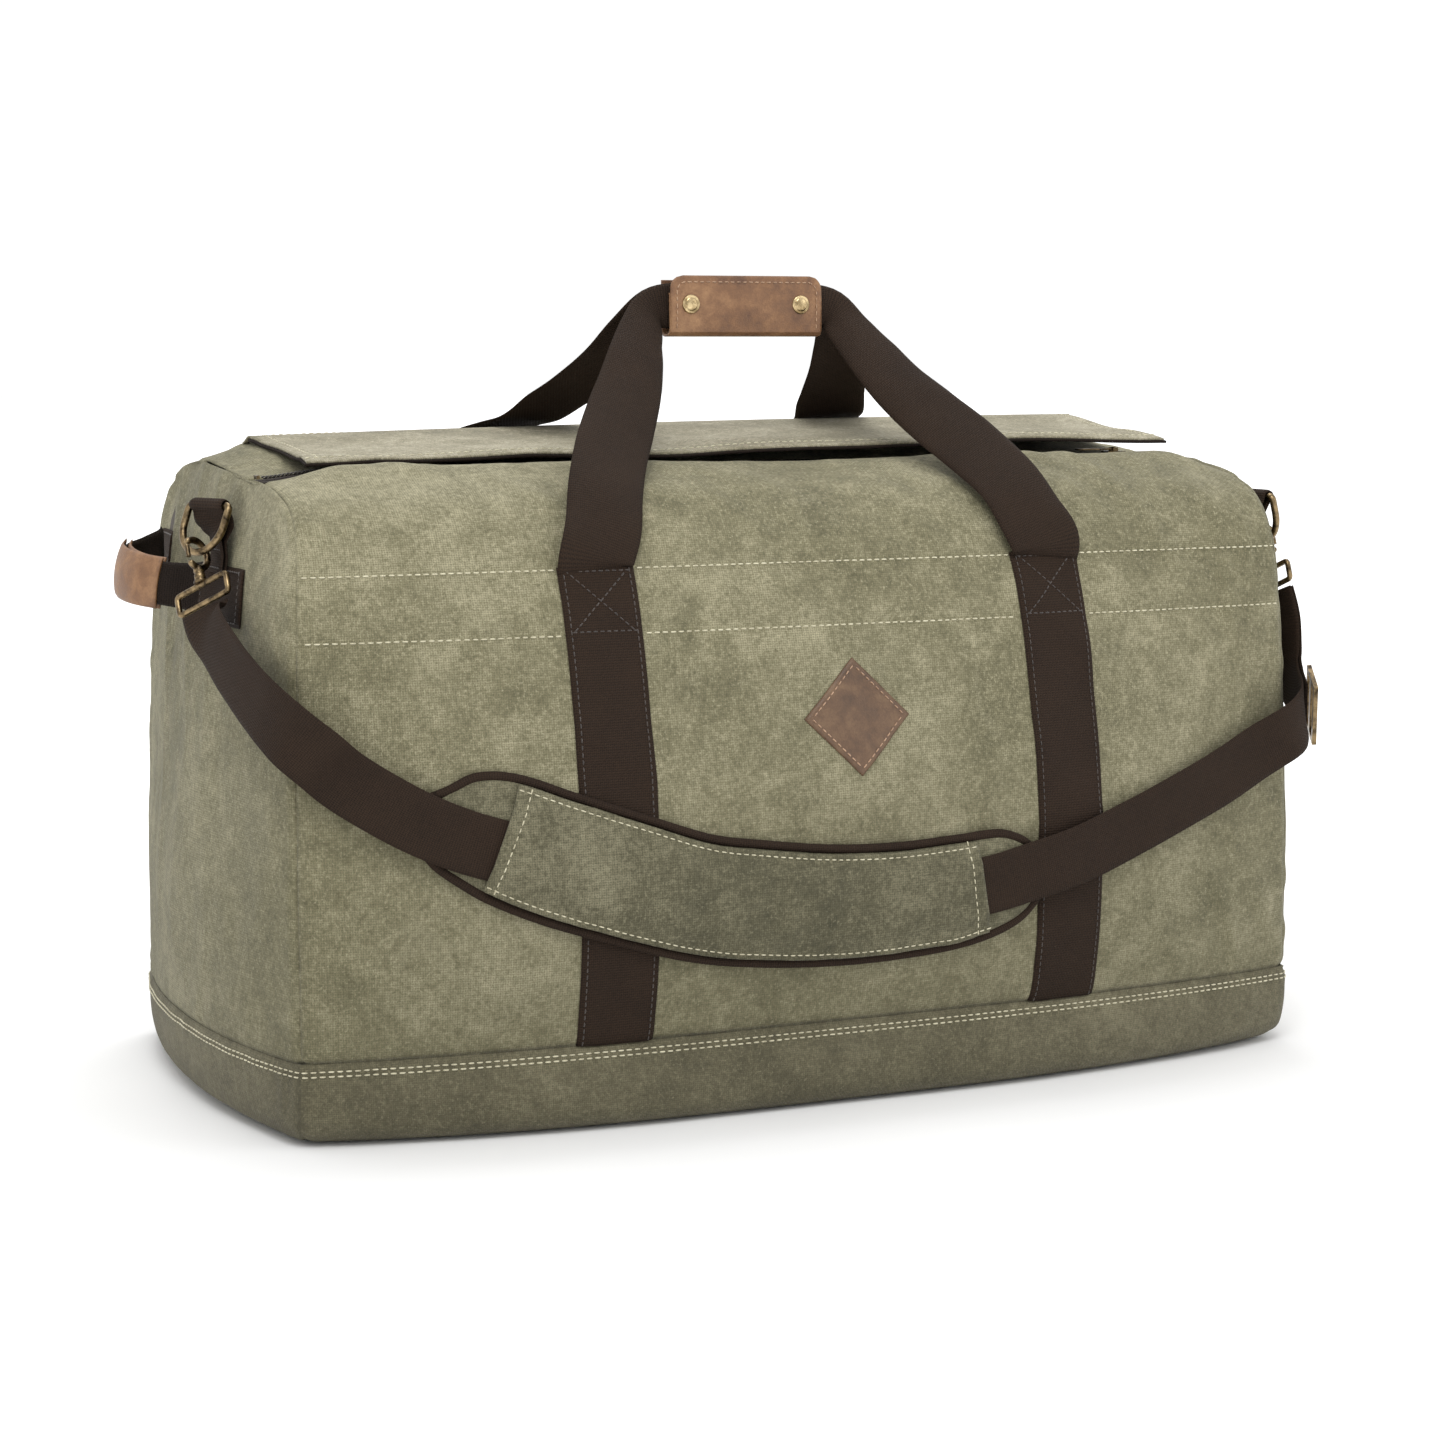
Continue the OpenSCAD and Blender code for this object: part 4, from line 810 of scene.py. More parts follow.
RN = [[0, 1, 0], [0, 1, 0], [0, 1, 0.3], [0, 1, 0.8], [0, 0.6, 1], [0, 0.35, 1], [0, 0.25, 1], [0, 0.3, 1], [0, 0.5, 1], [0, 0.7, 1], [0, 1, 0.9], [0, 1, 0.5], [0, 1, 0], [0, 1, 0], [0, 1, 0]]
RWd = [50, 50, 50, 50, 50, 50, 50, 50, 49, 46, 40, 34, 28, 30, 30]
RC = [0.05] * 7 + [0.1, 0.2, 0.3, 0.4, 0.4, 0.3, 0.1, 0.05]
def to_m(P): return np.array(P, float) * MM
loop, Pp, Tt, Aa, Bb, ss = ribbon("front_handle_webbing", to_m(FL + other(FL)), FN + FN[::-1], to_m(FW + FW[::-1]), 0.0017, "webbing", curl=FC + FC[::-1], wob=0.0008, seed=11, replaces=["front_handle_loop"], slot="webbing")
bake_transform(loop)
loop2, P2_, T2_, A2_, B2_, s2_ = ribbon("rear_handle_webbing", to_m(RL + other(RL)), RN + RN[::-1], to_m(RWd + RWd[::-1]), 0.0017, "webbing", curl=RC + RC[::-1], wob=0.0006, seed=13, replaces=["rear_handle_loop"], slot="webbing")
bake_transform(loop2)

# ---- leather grip
gz = 0.4865
def rounded_outline(w, h, r, n=8, r0=0.0015):
    pts = []
    for cx, cy, a0, rr in ((w / 2 - r, h - r, 0, r), (-w / 2 + r, h - r, 90, r), (-w / 2 + r0, r0, 180, r0), (w / 2 - r0, r0, 270, r0)):
        for k in range(n + 1):
            a = math.radians(a0 + 90 * k / n); pts.append((cx + rr * math.cos(a), cy + rr * math.sin(a)))
    return np.array(pts)
def plate_grid(w, h, r, nx=70, ny=26):
    """Grid over a rounded rectangle: columns keep inside the outline."""
    X = np.zeros((ny, nx)); Y = np.zeros((ny, nx))
    ys = np.linspace(0, h, ny)
    ys = h * (0.5 - 0.5 * np.cos(np.pi * np.linspace(0, 1, ny))) * 0.35 + ys * 0.65
    for i, y in enumerate(ys):
        hw = w / 2
        if y > h - r: hw = w / 2 - r + math.sqrt(max(0, r * r - (y - h + r) ** 2))
        X[i] = np.linspace(-hw, hw, nx); Y[i] = y
    return X, Y
Xg, Yg = plate_grid(0.110, 0.0375, 0.009)
def grip_front_y(X, Y):
    return -0.0490 - 0.0012 * np.sin(np.pi * np.clip(Y / 0.0375, 0, 1)) - 0.0009 * (1 - (X / 0.055) ** 2) + 0.0004 * fbm(X * 50, Y * 50, octaves=2, seed=7)
ed = np.minimum(np.minimum(np.abs(np.abs(Xg) - 0.055), 0.0375 - Yg), 0.03)
Yy = grip_front_y(Xg, Yg)
groove = 0.00035 * np.exp(-((np.minimum(0.055 - np.abs(Xg), 0.0375 - Yg) - 0.0042) / 0.0009) ** 2)
P = np.stack([Xg + 0.003, Yy + groove, gz + 0.0008 + Yg], -1)
rimx = np.linspace(-1, 1, Xg.shape[1]); rimy = np.linspace(0, 1, Xg.shape[0])
prof = ((1 - np.abs(rimx) ** 40) ** 0.5)[None, :] * ((1 - rimy ** 30) ** 0.5)[:, None]
V, F, W = slab(P, np.stack([Xg, Yg], -1), 0.0004 + 0.0006 * prof, -0.0008)
add_mesh("grip_cover_leather", V, F, "grip_leather", "grip_cover", W, replaces=["grip_flap"], slot="grip_leather")
# stitching round top and sides
Ng = grid_normals(P)
inset = 0.0042
out = rounded_outline(0.110 - 2 * inset, 0.0375 - inset, 0.0065)
path = [(0.055 - inset, 0.002)] + [tuple(p) for p in out[:18]] + [(-0.055 + inset, 0.002)]
path = np.array(path)
d = np.r_[0, np.cumsum(np.linalg.norm(np.diff(path, axis=0), axis=1))]; tt = np.linspace(0, d[-1], 120)
px_ = np.interp(tt, d, path[:, 0]); py_ = np.interp(tt, d, path[:, 1])
L3 = np.stack([px_ + 0.003, grip_front_y(px_, py_) - 0.0009, gz + 0.0008 + py_], 1)
stitches("grip_topstitch", [(L3, np.tile([0, -1, 0], (len(L3), 1)))], "thread_tan", "grip_cover", length=0.0030, gap=0.0014, r=0.00042)
# inner wrap: back, fold at the bottom, short inner front
sec = [(-0.0366, gz + 0.0355), (-0.0364, gz + 0.028), (-0.0363, gz + 0.018), (-0.0364, gz + 0.008), (-0.0368, gz + 0.002), (-0.0385, gz + 0.0004), (-0.0425, gz - 0.0001), (-0.0462, gz + 0.0004), (-0.0479, gz + 0.0022), (-0.0481, gz + 0.008), (-0.0480, gz + 0.018), (-0.0479, gz + 0.0268)]
sec = respace([(0, a, b) for a, b in sec], 0.0009)[0][:, 1:3]
xs = np.linspace(-0.0555, 0.0555, 74)
Pw = np.zeros((len(sec), len(xs), 3))
for i, (yy_, zz3) in enumerate(sec):
    Pw[i, :, 0] = xs + 0.003; Pw[i, :, 1] = yy_; Pw[i, :, 2] = zz3
Pw[..., 1] += 0.0003 * fbm(Pw[..., 0] * 60, Pw[..., 2] * 60, seed=8, octaves=2)
Ww = np.stack([Pw[..., 0], np.broadcast_to(np.arange(len(sec))[:, None] * 0.0009, Pw.shape[:2])], -1)
V, F, W = slab(Pw, Ww, 0.0, 0.0016)
c = np.cross(V[F[0][1]] - V[F[0][0]], V[F[0][2]] - V[F[0][0]])
if c[1] > 0: F = [f[::-1] for f in F]
add_mesh("grip_wrap_leather", V, F, "grip_leather", "handles", W, replaces=["grip_wrap"], slot="grip_leather")
# snap caps: domed, ringed, plain
def lathe(name, prof, C, axis, mat, body, nseg=40, **kw):
    prof = np.array(prof, float)
    axis = unit(axis); ref = np.array([0, 0, 1.0]) if abs(axis[2]) < 0.9 else np.array([1.0, 0, 0])
    A = unit(np.cross(axis, ref)); B = np.cross(axis, A)
    ang = np.linspace(0, 2 * np.pi, nseg, endpoint=False)
    V = []; F = []
    for (r, h) in prof:
        V.append(np.asarray(C) + axis * h + (A * np.cos(ang)[:, None] + B * np.sin(ang)[:, None]) * max(r, 1e-5))
    V = np.concatenate(V)
    for i in range(len(prof) - 1):
        for j in range(nseg):
            k = (j + 1) % nseg; F.append([i * nseg + j, i * nseg + k, (i + 1) * nseg + k, (i + 1) * nseg + j])
    F.append([j for j in range(nseg)][::-1]); F.append([(len(prof) - 1) * nseg + j for j in range(nseg)])
    return add_mesh(name, V, F, mat, body, V, **kw)
capprof = [(0.0062, -0.0006), (0.0063, 0.0), (0.0062, 0.0006), (0.0058, 0.0010), (0.0054, 0.0011), (0.0050, 0.0008), (0.0046, 0.0008), (0.0042, 0.0012), (0.0034, 0.0016), (0.0022, 0.0018), (0.0010, 0.0019), (0.0, 0.0019)]
for i, x in enumerate((-0.038, 0.042)):
    y = float(grip_front_y(np.array(x - 0.003), np.array(0.0195))) - 0.0010
    lathe(f"snap_cap_{i+1}", capprof, (x, y, 0.506), (0, -1, 0), "bright_brass", "grip_cover", replaces=["snap_caps"], slot="antique_brass")

# ------------------------------------------------------------------ leather patch with a plain stitched diamond
XZ = np.zeros((40, 40, 2)); ab = np.linspace(-26, 26, 40)
A_, B_ = np.meshgrid(ab, ab)
XZ[..., 0] = (A_ - B_) * 0.7071 * MM + 0.006; XZ[..., 1] = (247 + (A_ + B_) * 0.7071) * MM
G, Nn = laid("diamond_patch", -1, XZ, 0.0017, 0.0003, "patch_leather", "bag", ["leather_patch"], "patch_leather", edge=16, endedge=True)
def on_patch(a, b, lift=0.0):
    i = (b + 26) / 52 * 39; j = (a + 26) / 52 * 39
    i0 = np.clip(i.astype(int), 0, 38); j0 = np.clip(j.astype(int), 0, 38); fi, fj = (i - i0)[:, None], (j - j0)[:, None]
    return mix(mix(G[i0, j0], G[i0, j0 + 1], fj), mix(G[i0 + 1, j0], G[i0 + 1, j0 + 1], fj), fi) + Nn[i0, j0] * lift, Nn[i0, j0]
k = np.linspace(0, 1, 40); c = 22.6
sq = [(-c + 2 * c * k, -c + 0 * k), (c + 0 * k, -c + 2 * c * k), (c - 2 * c * k, c + 0 * k), (-c + 0 * k, c - 2 * c * k)]
stitches("patch_topstitch", [on_patch(a, b) for a, b in sq], "thread_tan", "bag", length=0.0030, gap=0.0014, r=0.00045)

# ------------------------------------------------------------------ D-ring tabs
LR = np.array([-363.5, -48, 381]) * MM; RR = np.array([358.5, -125, 375]) * MM
def ring_tab(nm, C, o, e, inner, outer):
    o = np.array(o, float); pts = []; nn = []
    for p in inner: pts.append(p); nn.append([e * -1.0, 0, 0] if p[2] < C[2] * 1000 - 14 else list(-o))
    for a in (180, 150, 120, 90, 60, 30, 0, -30, -65):
        d = o * math.cos(math.radians(a)) + np.array([0, 0, 1]) * math.sin(math.radians(a))
        pts.append(C * 1000 + d * 3.5); nn.append(d)
    for p in outer: pts.append(p); nn.append([e * 1.0, 0, 0] if p[2] < C[2] * 1000 - 18 else list(o))
    ribbon(f"{nm}_ring_tab_webbing", to_m(pts), nn, 0.031, 0.0016, "webbing", "bag", step=0.0012, nw=11, replaces=[f"{nm}_ring_tab"], slot="webbing")
    y = outer[-1][1] * MM
    rows = []
    for p in (outer[-1], outer[-2]):
        c = np.array(p) * MM + np.array([e * 0.00085, 0, 0.0035])
        rows.append((c + np.array([[0, dy, 0] for dy in np.linspace(-0.0125, 0.0125, 12)]), np.tile([float(e), 0, 0], (12, 1))))
    stitches(f"{nm}_tab_stitch", rows, "thread_dark", "bag", length=0.0028, gap=0.0012, r=0.0004)
ring_tab("left", LR, (-0.9063, -0.4226, 0), -1, [[-358.7, -48, 338], [-357.0, -48, 348], [-357.3, -47.8, 358], [-358.4, -47.4, 367], [-360.1, -46.7, 375]],
         [[-362.4, -48, 371], [-360.3, -48, 362], [-359.5, -48, 350], [-361, -48, 339]])
ring_tab("right", RR, (1, 0, 0), 1, [[354.1, -125, 331], [352.6, -125, 343], [350.2, -125, 355], [350.8, -125, 364], [353.6, -125, 370.5]],
         [[356.2, -125, 365], [352.6, -125, 356], [354.4, -125, 344], [356.2, -125, 332]])

# ---- rings and hooks, finer than the CAD model and in the same place
def rot(axis, deg):
    return np.array(Matrix.Rotation(math.radians(deg), 3, axis))
def corner(P, r, n=5):
    """Round the corners of a closed polygon in 3-D."""
    P = np.array(P, float); out = []
    for i in range(len(P)):
        a, b, c = P[i - 1], P[i], P[(i + 1) % len(P)]
        u, v = unit(a - b), unit(c - b)
        t = np.linspace(0, 1, n)[:, None]
        out.append((1 - t) ** 2 * (b + u * r) + 2 * t * (1 - t) * b + t ** 2 * (b + v * r))
    return np.concatenate(out)
def evened(P, step, closed=True):
    Q = np.vstack([P, P[:1]]) if closed else np.asarray(P)
    d = np.r_[0, np.cumsum(np.linalg.norm(np.diff(Q, axis=0), axis=1))]
    n = max(8, int(d[-1] / step)); t = np.linspace(0, d[-1], n, endpoint=not closed)
    return np.stack([np.interp(t, d, Q[:, k]) for k in range(3)], 1)
for nm, C, yaw_, tilt_, P_, lean_, turn_, e in (("left", LR, 25, 22, None, 30, 33, -1), ("right", RR, 0, -14, None, 20, 0, 1)):
    R_ = rot("Z", yaw_) @ rot("Y", tilt_)
    arc = [[0, 19 * math.cos(a), -12 - 19 * math.sin(a)] for a in np.linspace(0, math.pi, 40)]
    top_ = [[0, y, 0] for y in np.linspace(-16, 16, 9)]
    c1 = [[0, 19 - 3 + 3 * math.sin(a), -3 + 3 * math.cos(a)] for a in np.linspace(0, math.pi / 2, 7)]
    c2 = [[0, -19 + 3 - 3 * math.cos(a), -3 + 3 * math.sin(a)] for a in np.linspace(0, math.pi / 2, 7)]
    ringp = evened(np.array(top_ + c1 + arc + c2) * MM, 0.0016)
    tube(f"{nm}_d_ring_wire", ringp @ R_.T + C, 0.0024, "antique_brass", f"{nm}_ring", nseg=16, closed=True, replaces=[f"{nm}_d_ring"], slot="antique_brass")
    Pw_ = C + R_ @ np.array([0, 0, -0.031])
    H_ = rot("X", -lean_) @ rot("Z", turn_)
    def tf(pts, H_=H_, Pw_=Pw_): return (np.array(pts, float) * MM + np.array([0, 0, -0.0012])) @ H_.T + Pw_
    a0, a1 = (-140, 140) if e < 0 else (40, 320)
    ringh = [[9.5 * math.cos(math.radians(a)), 0, 9.5 * math.sin(math.radians(a))] for a in np.linspace(a0, a1, 60)]
    rr_ = 0.0022 * np.sqrt(np.clip(1 - (np.abs(np.linspace(-1, 1, 60)) ** 24), 0.15, 1))
    tube(f"{nm}_hook_ring", tf(ringh), rr_, "antique_brass", "strap", nseg=14, replaces=[f"{nm}_hook"], slot="antique_brass")
    fr = corner([[0, -21, -21.3], [0, 21, -21.3], [0, 21, -34], [0, -21, -34]], 2.6)
    tube(f"{nm}_hook_frame", evened(tf(fr), 0.0012), 0.0019, "antique_brass", "strap", nseg=12, closed=True)
    ax_ = H_ @ np.array([0, 0, -1.0])
    lathe(f"{nm}_hook_barrel", [(0.0, 0.0085), (0.0026, 0.0087), (0.0034, 0.0098), (0.0035, 0.0125), (0.0031, 0.0130), (0.0031, 0.0138), (0.0035, 0.0143), (0.0035, 0.0172), (0.0029, 0.0178), (0.0043, 0.0184), (0.0045, 0.0192), (0.0043, 0.0200), (0.0030, 0.0206), (0.0, 0.0208)], tf([[0, 0, 0]])[0], ax_, "antique_brass", "strap", nseg=28)

# ------------------------------------------------------------------ end grab handles
for e, nm in ((-1, "left"), (1, "right")):
    for i, (ya, yb, za, zb) in enumerate(((-0.092, -0.017, 0.307, 0.343), (0.097, 0.150, 0.322, 0.356))):
        YZ = np.stack(np.meshgrid(np.linspace(ya, yb, 30), np.linspace(za, zb, 15)), -1)
        YZ = np.swapaxes(YZ, 0, 1)
        Gq, Nq = laid(f"{nm}_anchor_{i+1}", 0, YZ, 0.0017, 0.0006, "webbing", "bag", [f"{nm}_handle_anchors"], "webbing", hit=lambda a, b, e=e: hit_end(e, a, b))
        lines = [(Gq[2:-2, 1], Nq[2:-2, 1]), (Gq[2:-2, -2], Nq[2:-2, -2]), (Gq[2, 1:-1], Nq[2, 1:-1]), (Gq[-3, 1:-1], Nq[-3, 1:-1])]
        stitches(f"{nm}_anchor_stitch_{i+1}", lines, "thread_dark", "bag", length=0.0028, gap=0.0013, r=0.0004)
    HLp = [[-359.4, -24, 325.5], [-362.4, -15, 326.5], [-370, -9, 328], [-385, -1, 330], [-395, 13, 332], [-399, 33, 334], [-397, 55, 336], [-389, 73, 338], [-376, 86, 339.5], [-362.5, 92.5, 340.5], [-358.2, 101, 341]]
    HNp = [[-1, -0.3, 0], [-1, -0.8, 0], [-0.6, -1, 0.1], [-0.8, -1, 0.1], [-1, -0.6, 0.2], [-1, 0, 0.2], [-1, 0.5, 0.2], [-0.8, 1, 0.1], [-0.5, 1, 0.1], [-0.8, 1, 0], [-1, 0.3, 0]]
    sx_ = np.array([1, 1, 1]) if e < 0 else np.array([-1, 1, 1])
    Pq = to_m(HLp) * sx_; Nq_ = np.array(HNp) * sx_
    ob, *_ = ribbon(f"{nm}_handle_webbing", Pq, Nq_, np.array([38, 35, 30, 28, 28, 28, 28, 28, 30, 35, 38]) * MM, 0.0030, "webbing_dark", curl=[0.02, 0.1, 0.3, 0.35, 0.3, 0.3, 0.3, 0.35, 0.3, 0.1, 0.02], replaces=[f"{nm}_handle_web"], slot="webbing")
    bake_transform(ob)
    sl_ = slice(3, 8)
    lp = Pq[sl_].copy(); ln = Nq_[sl_]
    for side, off in (("outer", 0.0026), ("inner", -0.0026)):
        ribbon(f"{nm}_leather_{side}", lp + unit(ln) * off, ln, 0.0335, 0.0016, "grip_leather", f"{nm}_handle", curl=0.32, replaces=[f"{nm}_handle_leather"], slot="grip_leather", nw=17)

# ------------------------------------------------------------------ shoulder strap
YC = RA[:, [0, 3]]; YM = RA[:, [0, 4]]; HLx = np.stack([RA[:, 0], L - RA[:, 2]], 1)
def fy(x, z):
    return mix(np.interp(z, YC[:, 0], YC[:, 1]), np.interp(z, YM[:, 0], YM[:, 1]), bow(np.asarray(x) / np.interp(z, HLx[:, 0], HLx[:, 1])))
def onf(x, z, off): return [x, -float(fy(x, z)) - off, z]
SL = [[-374, -72.3, 318.6], [-374.9, -79, 310], [-375.6, -97, 301.5], [-374, -122, 289.5], [-371, -150, 277], [-366, -178, 264.5], [-357, -198, 252], [-343, -203, 239.5],
      onf(-322, 222.5, 10), onf(-290, 202, 10.2), onf(-262, 188.5, 10.4), onf(-236, 179.5, 10.4), onf(-200, 169, 10.4), onf(-163, 158.5, 10.4), onf(-111, 143, 10.4),
      onf(-71, 136, 10.4), onf(-23, 131, 10.4), onf(26, 130, 10.4), onf(87, 136, 10.4), onf(124, 143, 10.4),
      onf(160, 151, 9.6), onf(200, 163, 7), onf(240, 177, 7), onf(280, 192, 8), onf(312, 206, 10), [338, -201.5, 219], [352, -194.5, 226.5], [361, -181, 233.5], [365.5, -165, 241.5], [368, -151.5, 255], [369, -145, 273], [368.4, -143.5, 290], [366, -138.2, 308.4]]
SNv = [[-0.83, -0.5, 0.29], [-0.87, -0.47, 0.1], [-0.9, -0.42, 0], [-0.88, -0.47, 0], [-0.84, -0.53, 0], [-0.74, -0.67, 0], [-0.5, -0.87, 0], [-0.25, -0.97, 0], [-0.08, -1, 0]]
SNr = [[0.15, -1, 0], [0.5, -1, 0], [0.9, -0.6, 0], [1, -0.3, 0], [1, -0.1, 0], [1, 0, 0], [1, 0, 0], [1, 0, 0]]
SN = SNv + [[0, -1, 0]] * (len(SL) - 17) + SNr
# the right end is doubled back and lies on itself
strap, SP, ST, SA, SB, Ssl = ribbon("shoulder_strap_webbing", to_m(SL), SN, 0.038, 0.0017, "webbing", "strap", replaces=["strap_webbing"], slot="webbing", wob=0.0005, seed=19)
print("strap length", Ssl[-1])
n0 = len(SL)
NQ = unit(np.array(SN[n0 - 6:], float)); RP_ = to_m(SL[n0 - 6:]) + NQ * 0.0026
ribbon("strap_doubled_end", RP_, NQ, 0.038, 0.0017, "webbing", "strap", replaces=["strap_return"], slot="webbing")

# ---- pad
PC = [[-276, 203], [-262, 196], [-236, 188], [-200, 173], [-163, 160], [-111, 143], [-71, 136], [-23, 131], [26, 130], [72, 133], [106, 139], [124, 143], [131, 145]]
PH = [12, 27, 36, 38, 38, 37, 37, 36, 35, 34, 30, 20, 10]
PCr, ps = respace([[a, 0, b] for a, b in PC], 2.5, (PH,))
tang = unit(np.gradient(PCr[:, [0, 2]], axis=0))
def pad_pts(g, wlist, off, cols=slice(None)):
    """Grid over the crescent: w from -1 to 1 across; off in mm above the skin."""
    out = np.zeros((len(wlist), len(PCr), 3))
    for i, w in enumerate(wlist):
        h = PCr[:, 3] + g
        x = PCr[:, 0] - tang[:, 1] * w * h; z = PCr[:, 2] + tang[:, 0] * w * h
        x[0] -= g; x[-1] += g
        o = off if np.isscalar(off) else off[i]
        out[i, :, 0] = x; out[i, :, 2] = z; out[i, :, 1] = -fy(x, z) - o
    return (out * MM)[:, cols]
wl = np.linspace(-1, 1, 31)
Pp_ = pad_pts(-1.2, wl, 3.2)
Np_ = unit(grid_normals(Pp_)); 
if Np_[..., 1].mean() > 0: Np_ = -Np_
hgt = 0.0016 + 0.0048 * (1 - np.abs(wl) ** 4)[:, None] ** 0.5 * (1 - np.abs(np.linspace(-1, 1, Pp_.shape[1])) ** 14)[None, :] ** 0.5
hgt = hgt + 0.0003 * fbm(Pp_[..., 0] * 60, Pp_[..., 2] * 60, octaves=2, seed=33)
V, F, W = slab(Pp_, Pp_[..., [0, 2]], hgt, -0.0, Np_)
c = np.cross(V[F[0][1]] - V[F[0][0]], V[F[0][2]] - V[F[0][0]])
if (c * Np_[0, 0]).sum() < 0: F = [f[::-1] for f in F]
pad = add_mesh("shoulder_pad", V, F, "pad_canvas", "strap", W, replaces=["pad_base"], slot="canvas")
# binding rolled round the edge
top = pad_pts(0, [1.0], 5.2)[0]; bot = pad_pts(0, [-1.0], 5.2)[0]
def arc_end(a, b, c, n=9, out=1):
    return []
loopP = np.concatenate([top, bot[::-1]])
# round the ends: replace the straight ends by half circles
def bez(p, q, k, n=8):
    mid = (p + q) / 2 + k
    t = np.linspace(0, 1, n + 2)[1:-1, None]
    return (1 - t) ** 2 * p + 2 * t * (1 - t) * mid + t ** 2 * q
rt = bez(top[-1], bot[-1], np.array([0.012, 0.0006, 0.0]))
lt = bez(bot[0], top[0], np.array([-0.014, 0.001, 0.006]))
loopP = np.concatenate([top, rt, bot[::-1], lt])
dd = np.r_[0, np.cumsum(np.linalg.norm(np.diff(np.vstack([loopP, loopP[:1]]), axis=0), axis=1))]
tt = np.linspace(0, dd[-1], 420, endpoint=False)
lpc = np.vstack([loopP, loopP[:1]])
loopP = np.stack([np.interp(tt, dd, lpc[:, k]) for k in range(3)], 1)
for _ in range(2): loopP = (np.roll(loopP, 1, 0) + 2 * loopP + np.roll(loopP, -1, 0)) / 4
# flattened tube section: 3.4 mm across, 5 mm deep
nseg = 14; ang = np.linspace(0, 2 * np.pi, nseg, endpoint=False)
T = unit(np.roll(loopP, -1, 0) - np.roll(loopP, 1, 0)); Yd = np.array([0, -1.0, 0]); Sd = unit(np.cross(T, Yd)); Yd2 = np.cross(Sd, T)
V = (loopP[:, None] + Sd[:, None] * (0.0030 * np.cos(ang))[None, :, None] + Yd2[:, None] * (0.0027 * np.sin(ang))[None, :, None]).reshape(-1, 3)
nl = len(loopP); F = []
for i in range(nl):
    a, b = i * nseg, ((i + 1) % nl) * nseg
    for j in range(nseg): F.append([a + j, b + j, b + (j + 1) % nseg, a + (j + 1) % nseg])
Wq = np.stack([np.repeat(tt, nseg), np.tile(ang * 0.003, nl)], 1)
add_mesh("pad_edge_binding", V, F, "webbing", "strap", Wq, replaces=["pad_binding"], slot="webbing")
st = loopP + Yd2 * 0.0024 - Sd * 0.0018
# ---- sleeve: canvas over the webbing, sewn down along both edges
x0s, x1s = -0.236, 0.088
cols = np.where((PCr[:, 0] * MM > x0s) & (PCr[:, 0] * MM < x1s))[0]
ws = np.linspace(-0.97, 0.97, 41)
under = np.interp(np.abs(ws) * 36, [0, 19, 24, 34, 40], [12.3, 12.3, 11.0, 9.3, 8.4])
Pl = pad_pts(-2.0, ws, under, cols)
Nl = unit(grid_normals(Pl)); Nl = Nl if Nl[..., 1].mean() < 0 else -Nl
cl = np.linspace(-1, 1, Pl.shape[1])
dl = 0.0007 * fbm(Pl[..., 0] * 45, Pl[..., 2] * 30, octaves=3, seed=44) + 0.0009 * np.clip(ridge(Pl[..., 0] * 34, Pl[..., 2] * 9, 46) - 0.4, 0, 1)
ed_ = (1 - np.abs(cl)) * 0.165
dl = dl - 0.0005 * np.exp(-((ed_ - 0.007) / 0.0013) ** 2)[None, :] + 0.0004 * np.exp(-(ed_ / 0.003) ** 2)[None, :]
dl = np.clip(dl, -0.0008, 0.0016)
Pl = Pl + Nl * dl[..., None]
V, F, W = slab(Pl, Pl[..., [0, 2]] + 7, 0.0012, 0.0, Nl)
c = np.cross(V[F[0][1]] - V[F[0][0]], V[F[0][2]] - V[F[0][0]])
if (c * Nl[0, 0]).sum() < 0: F = [f[::-1] for f in F]
sleeve = add_mesh("pad_sleeve_canvas", V, F, "pad_canvas", "strap", W, replaces=["pad_sleeve"], slot="canvas")
Pt = Pl + Nl * 0.0013
kk_ = int(round(0.007 / 0.0025))
lines = [(Pt[:, kk_], Nl[:, kk_]), (Pt[:, -1 - kk_], Nl[:, -1 - kk_]), (Pt[2], Nl[2]), (Pt[-3], Nl[-3])]
stitches("sleeve_topstitch", lines, "thread_light", "strap", length=0.0032, gap=0.0018, r=0.00042)

# ------------------------------------------------------------------ carried-over CAD nodes get their finish
def finish_node(node, mat):
    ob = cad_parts[node]
    ob.data.materials.clear(); ob.data.materials.append(MATS[mat])
for nme in ("left_d_ring", "right_d_ring", "left_hook", "right_hook", "left_hook_gate", "right_hook_gate", "strap_slider", "zip_slider", "zip_pull", "zip_end_stops", "snap_studs"):
    finish_node(nme, "antique_brass")
for nme in ("base_board",): finish_node(nme, "board")
for nme in ("lining",): finish_node(nme, "lining_cloth")
for nme in ("base_straps",): finish_node(nme, "webbing_dark")

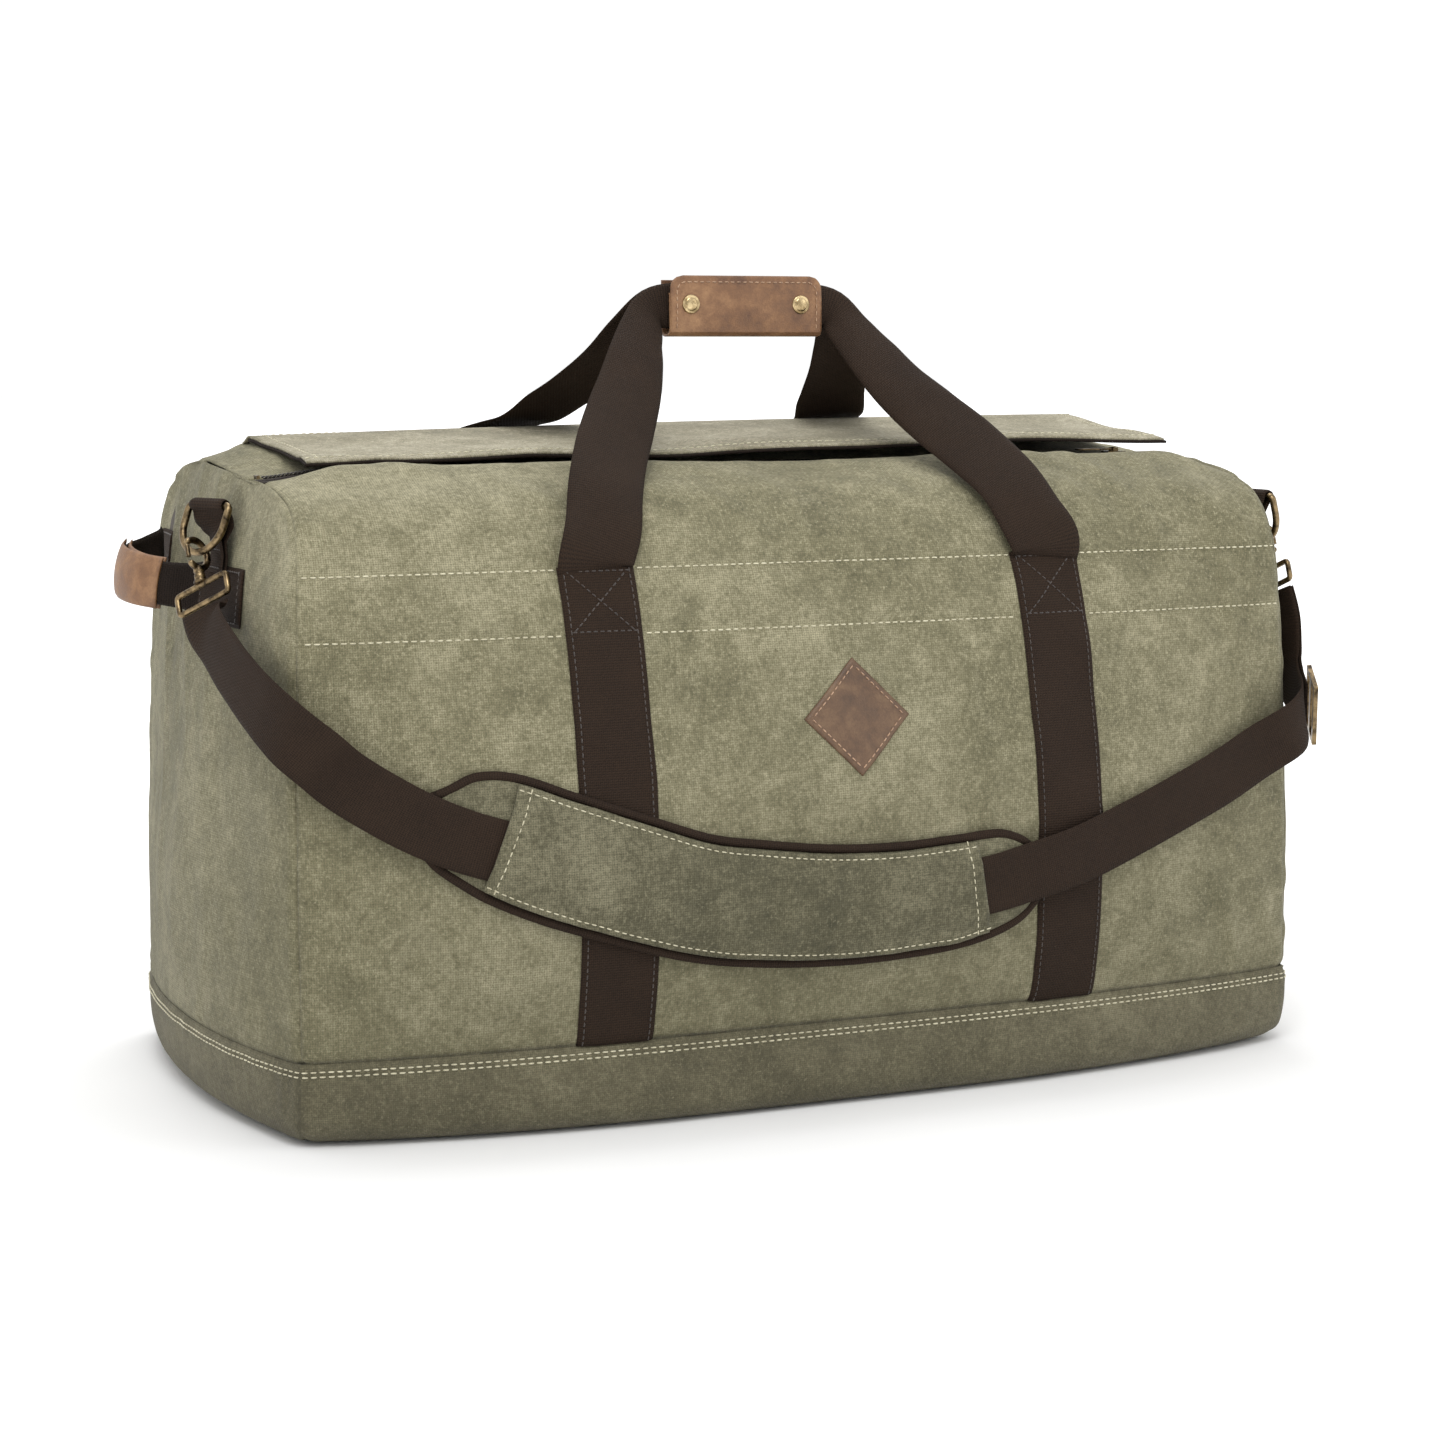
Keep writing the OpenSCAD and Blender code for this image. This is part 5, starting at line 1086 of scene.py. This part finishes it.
# ------------------------------------------------------------------ stage, light, camera
sc = bpy.context.scene
M = NT("floor_paper"); o_ = M.obj()
M.l(M.ramp(M.noise(o_, 3, 2), [(0.3, (0.86, 0.86, 0.86, 1)), (0.7, (0.9, 0.9, 0.9, 1))]), M.b.inputs["Base Color"]); M.b.inputs["Roughness"].default_value = 0.9
# painted light: the floor glows more the farther it lies from the bag (no emission within 0.7 m, rising to 0.5 at 1.8
# m), so the far floor fades into the white backdrop
ln_ = M.n("ShaderNodeVectorMath"); ln_.operation = "LENGTH"; M.l(o_, ln_.inputs[0])
floor_painted_glow = M.n("ShaderNodeMapRange"); M.l(ln_.outputs["Value"], floor_painted_glow.inputs[0]); floor_painted_glow.inputs[1].default_value = 0.7; floor_painted_glow.inputs[2].default_value = 1.8; floor_painted_glow.inputs[3].default_value = 0.0; floor_painted_glow.inputs[4].default_value = 0.5
M.b.inputs["Emission Color"].default_value = (1, 1, 1, 1); M.l(floor_painted_glow.outputs[0], M.b.inputs["Emission Strength"])
me = bpy.data.meshes.new("floor"); s_ = 30
me.from_pydata([(-s_, -s_, -0.0005), (s_, -s_, -0.0005), (s_, s_, -0.0005), (-s_, s_, -0.0005)], [], [(0, 1, 2, 3)])
floor = bpy.data.objects.new("floor", me); sc.collection.objects.link(floor); me.materials.append(MATS["floor_paper"])
w = bpy.data.worlds.new("studio"); sc.world = w; w.use_nodes = True
w.node_tree.nodes["Background"].inputs[0].default_value = (1.0, 1.0, 1.0, 1); w.node_tree.nodes["Background"].inputs[1].default_value = 1.02
def area(name, loc, target, size, power, col=(1, 1, 1)):
    ld = bpy.data.lights.new(name, "AREA"); ld.energy = power; ld.size = size; ld.color = col
    ob = bpy.data.objects.new(name, ld); sc.collection.objects.link(ob)
    ob.location = loc; ob.rotation_euler = (Vector(target) - Vector(loc)).to_track_quat("-Z", "Y").to_euler()
    return ob
area("key", (-1.0, -2.0, 3.2), (0, 0, 0.2), 1.5, 46)
area("fill", (2.4, -2.2, 1.6), (0, 0, 0.2), 1.6, 10)
area("top", (0.2, 0.8, 2.8), (0, 0, 0.3), 1.4, 24)
cam = bpy.data.cameras.new("camera"); cam.sensor_width = 36; cam.lens = 75.154; cam.clip_end = 100
co = bpy.data.objects.new("camera", cam); sc.collection.objects.link(co)
yaw, pit, rol = math.radians(24.169), math.radians(7.009), math.radians(-0.1305)
fw = Vector((math.sin(yaw) * math.cos(pit), math.cos(yaw) * math.cos(pit), -math.sin(pit))); rt_ = Vector((math.cos(yaw), -math.sin(yaw), 0)); up = rt_.cross(fw)
r2 = math.cos(rol) * rt_ + math.sin(rol) * up; u2 = -math.sin(rol) * rt_ + math.cos(rol) * up
Mx = Matrix((r2, u2, -fw)).transposed().to_4x4(); Mx.translation = Vector((-0.84142, -1.89059, 0.47489)); co.matrix_world = Mx
sc.camera = co
sc.view_settings.view_transform = "Standard"
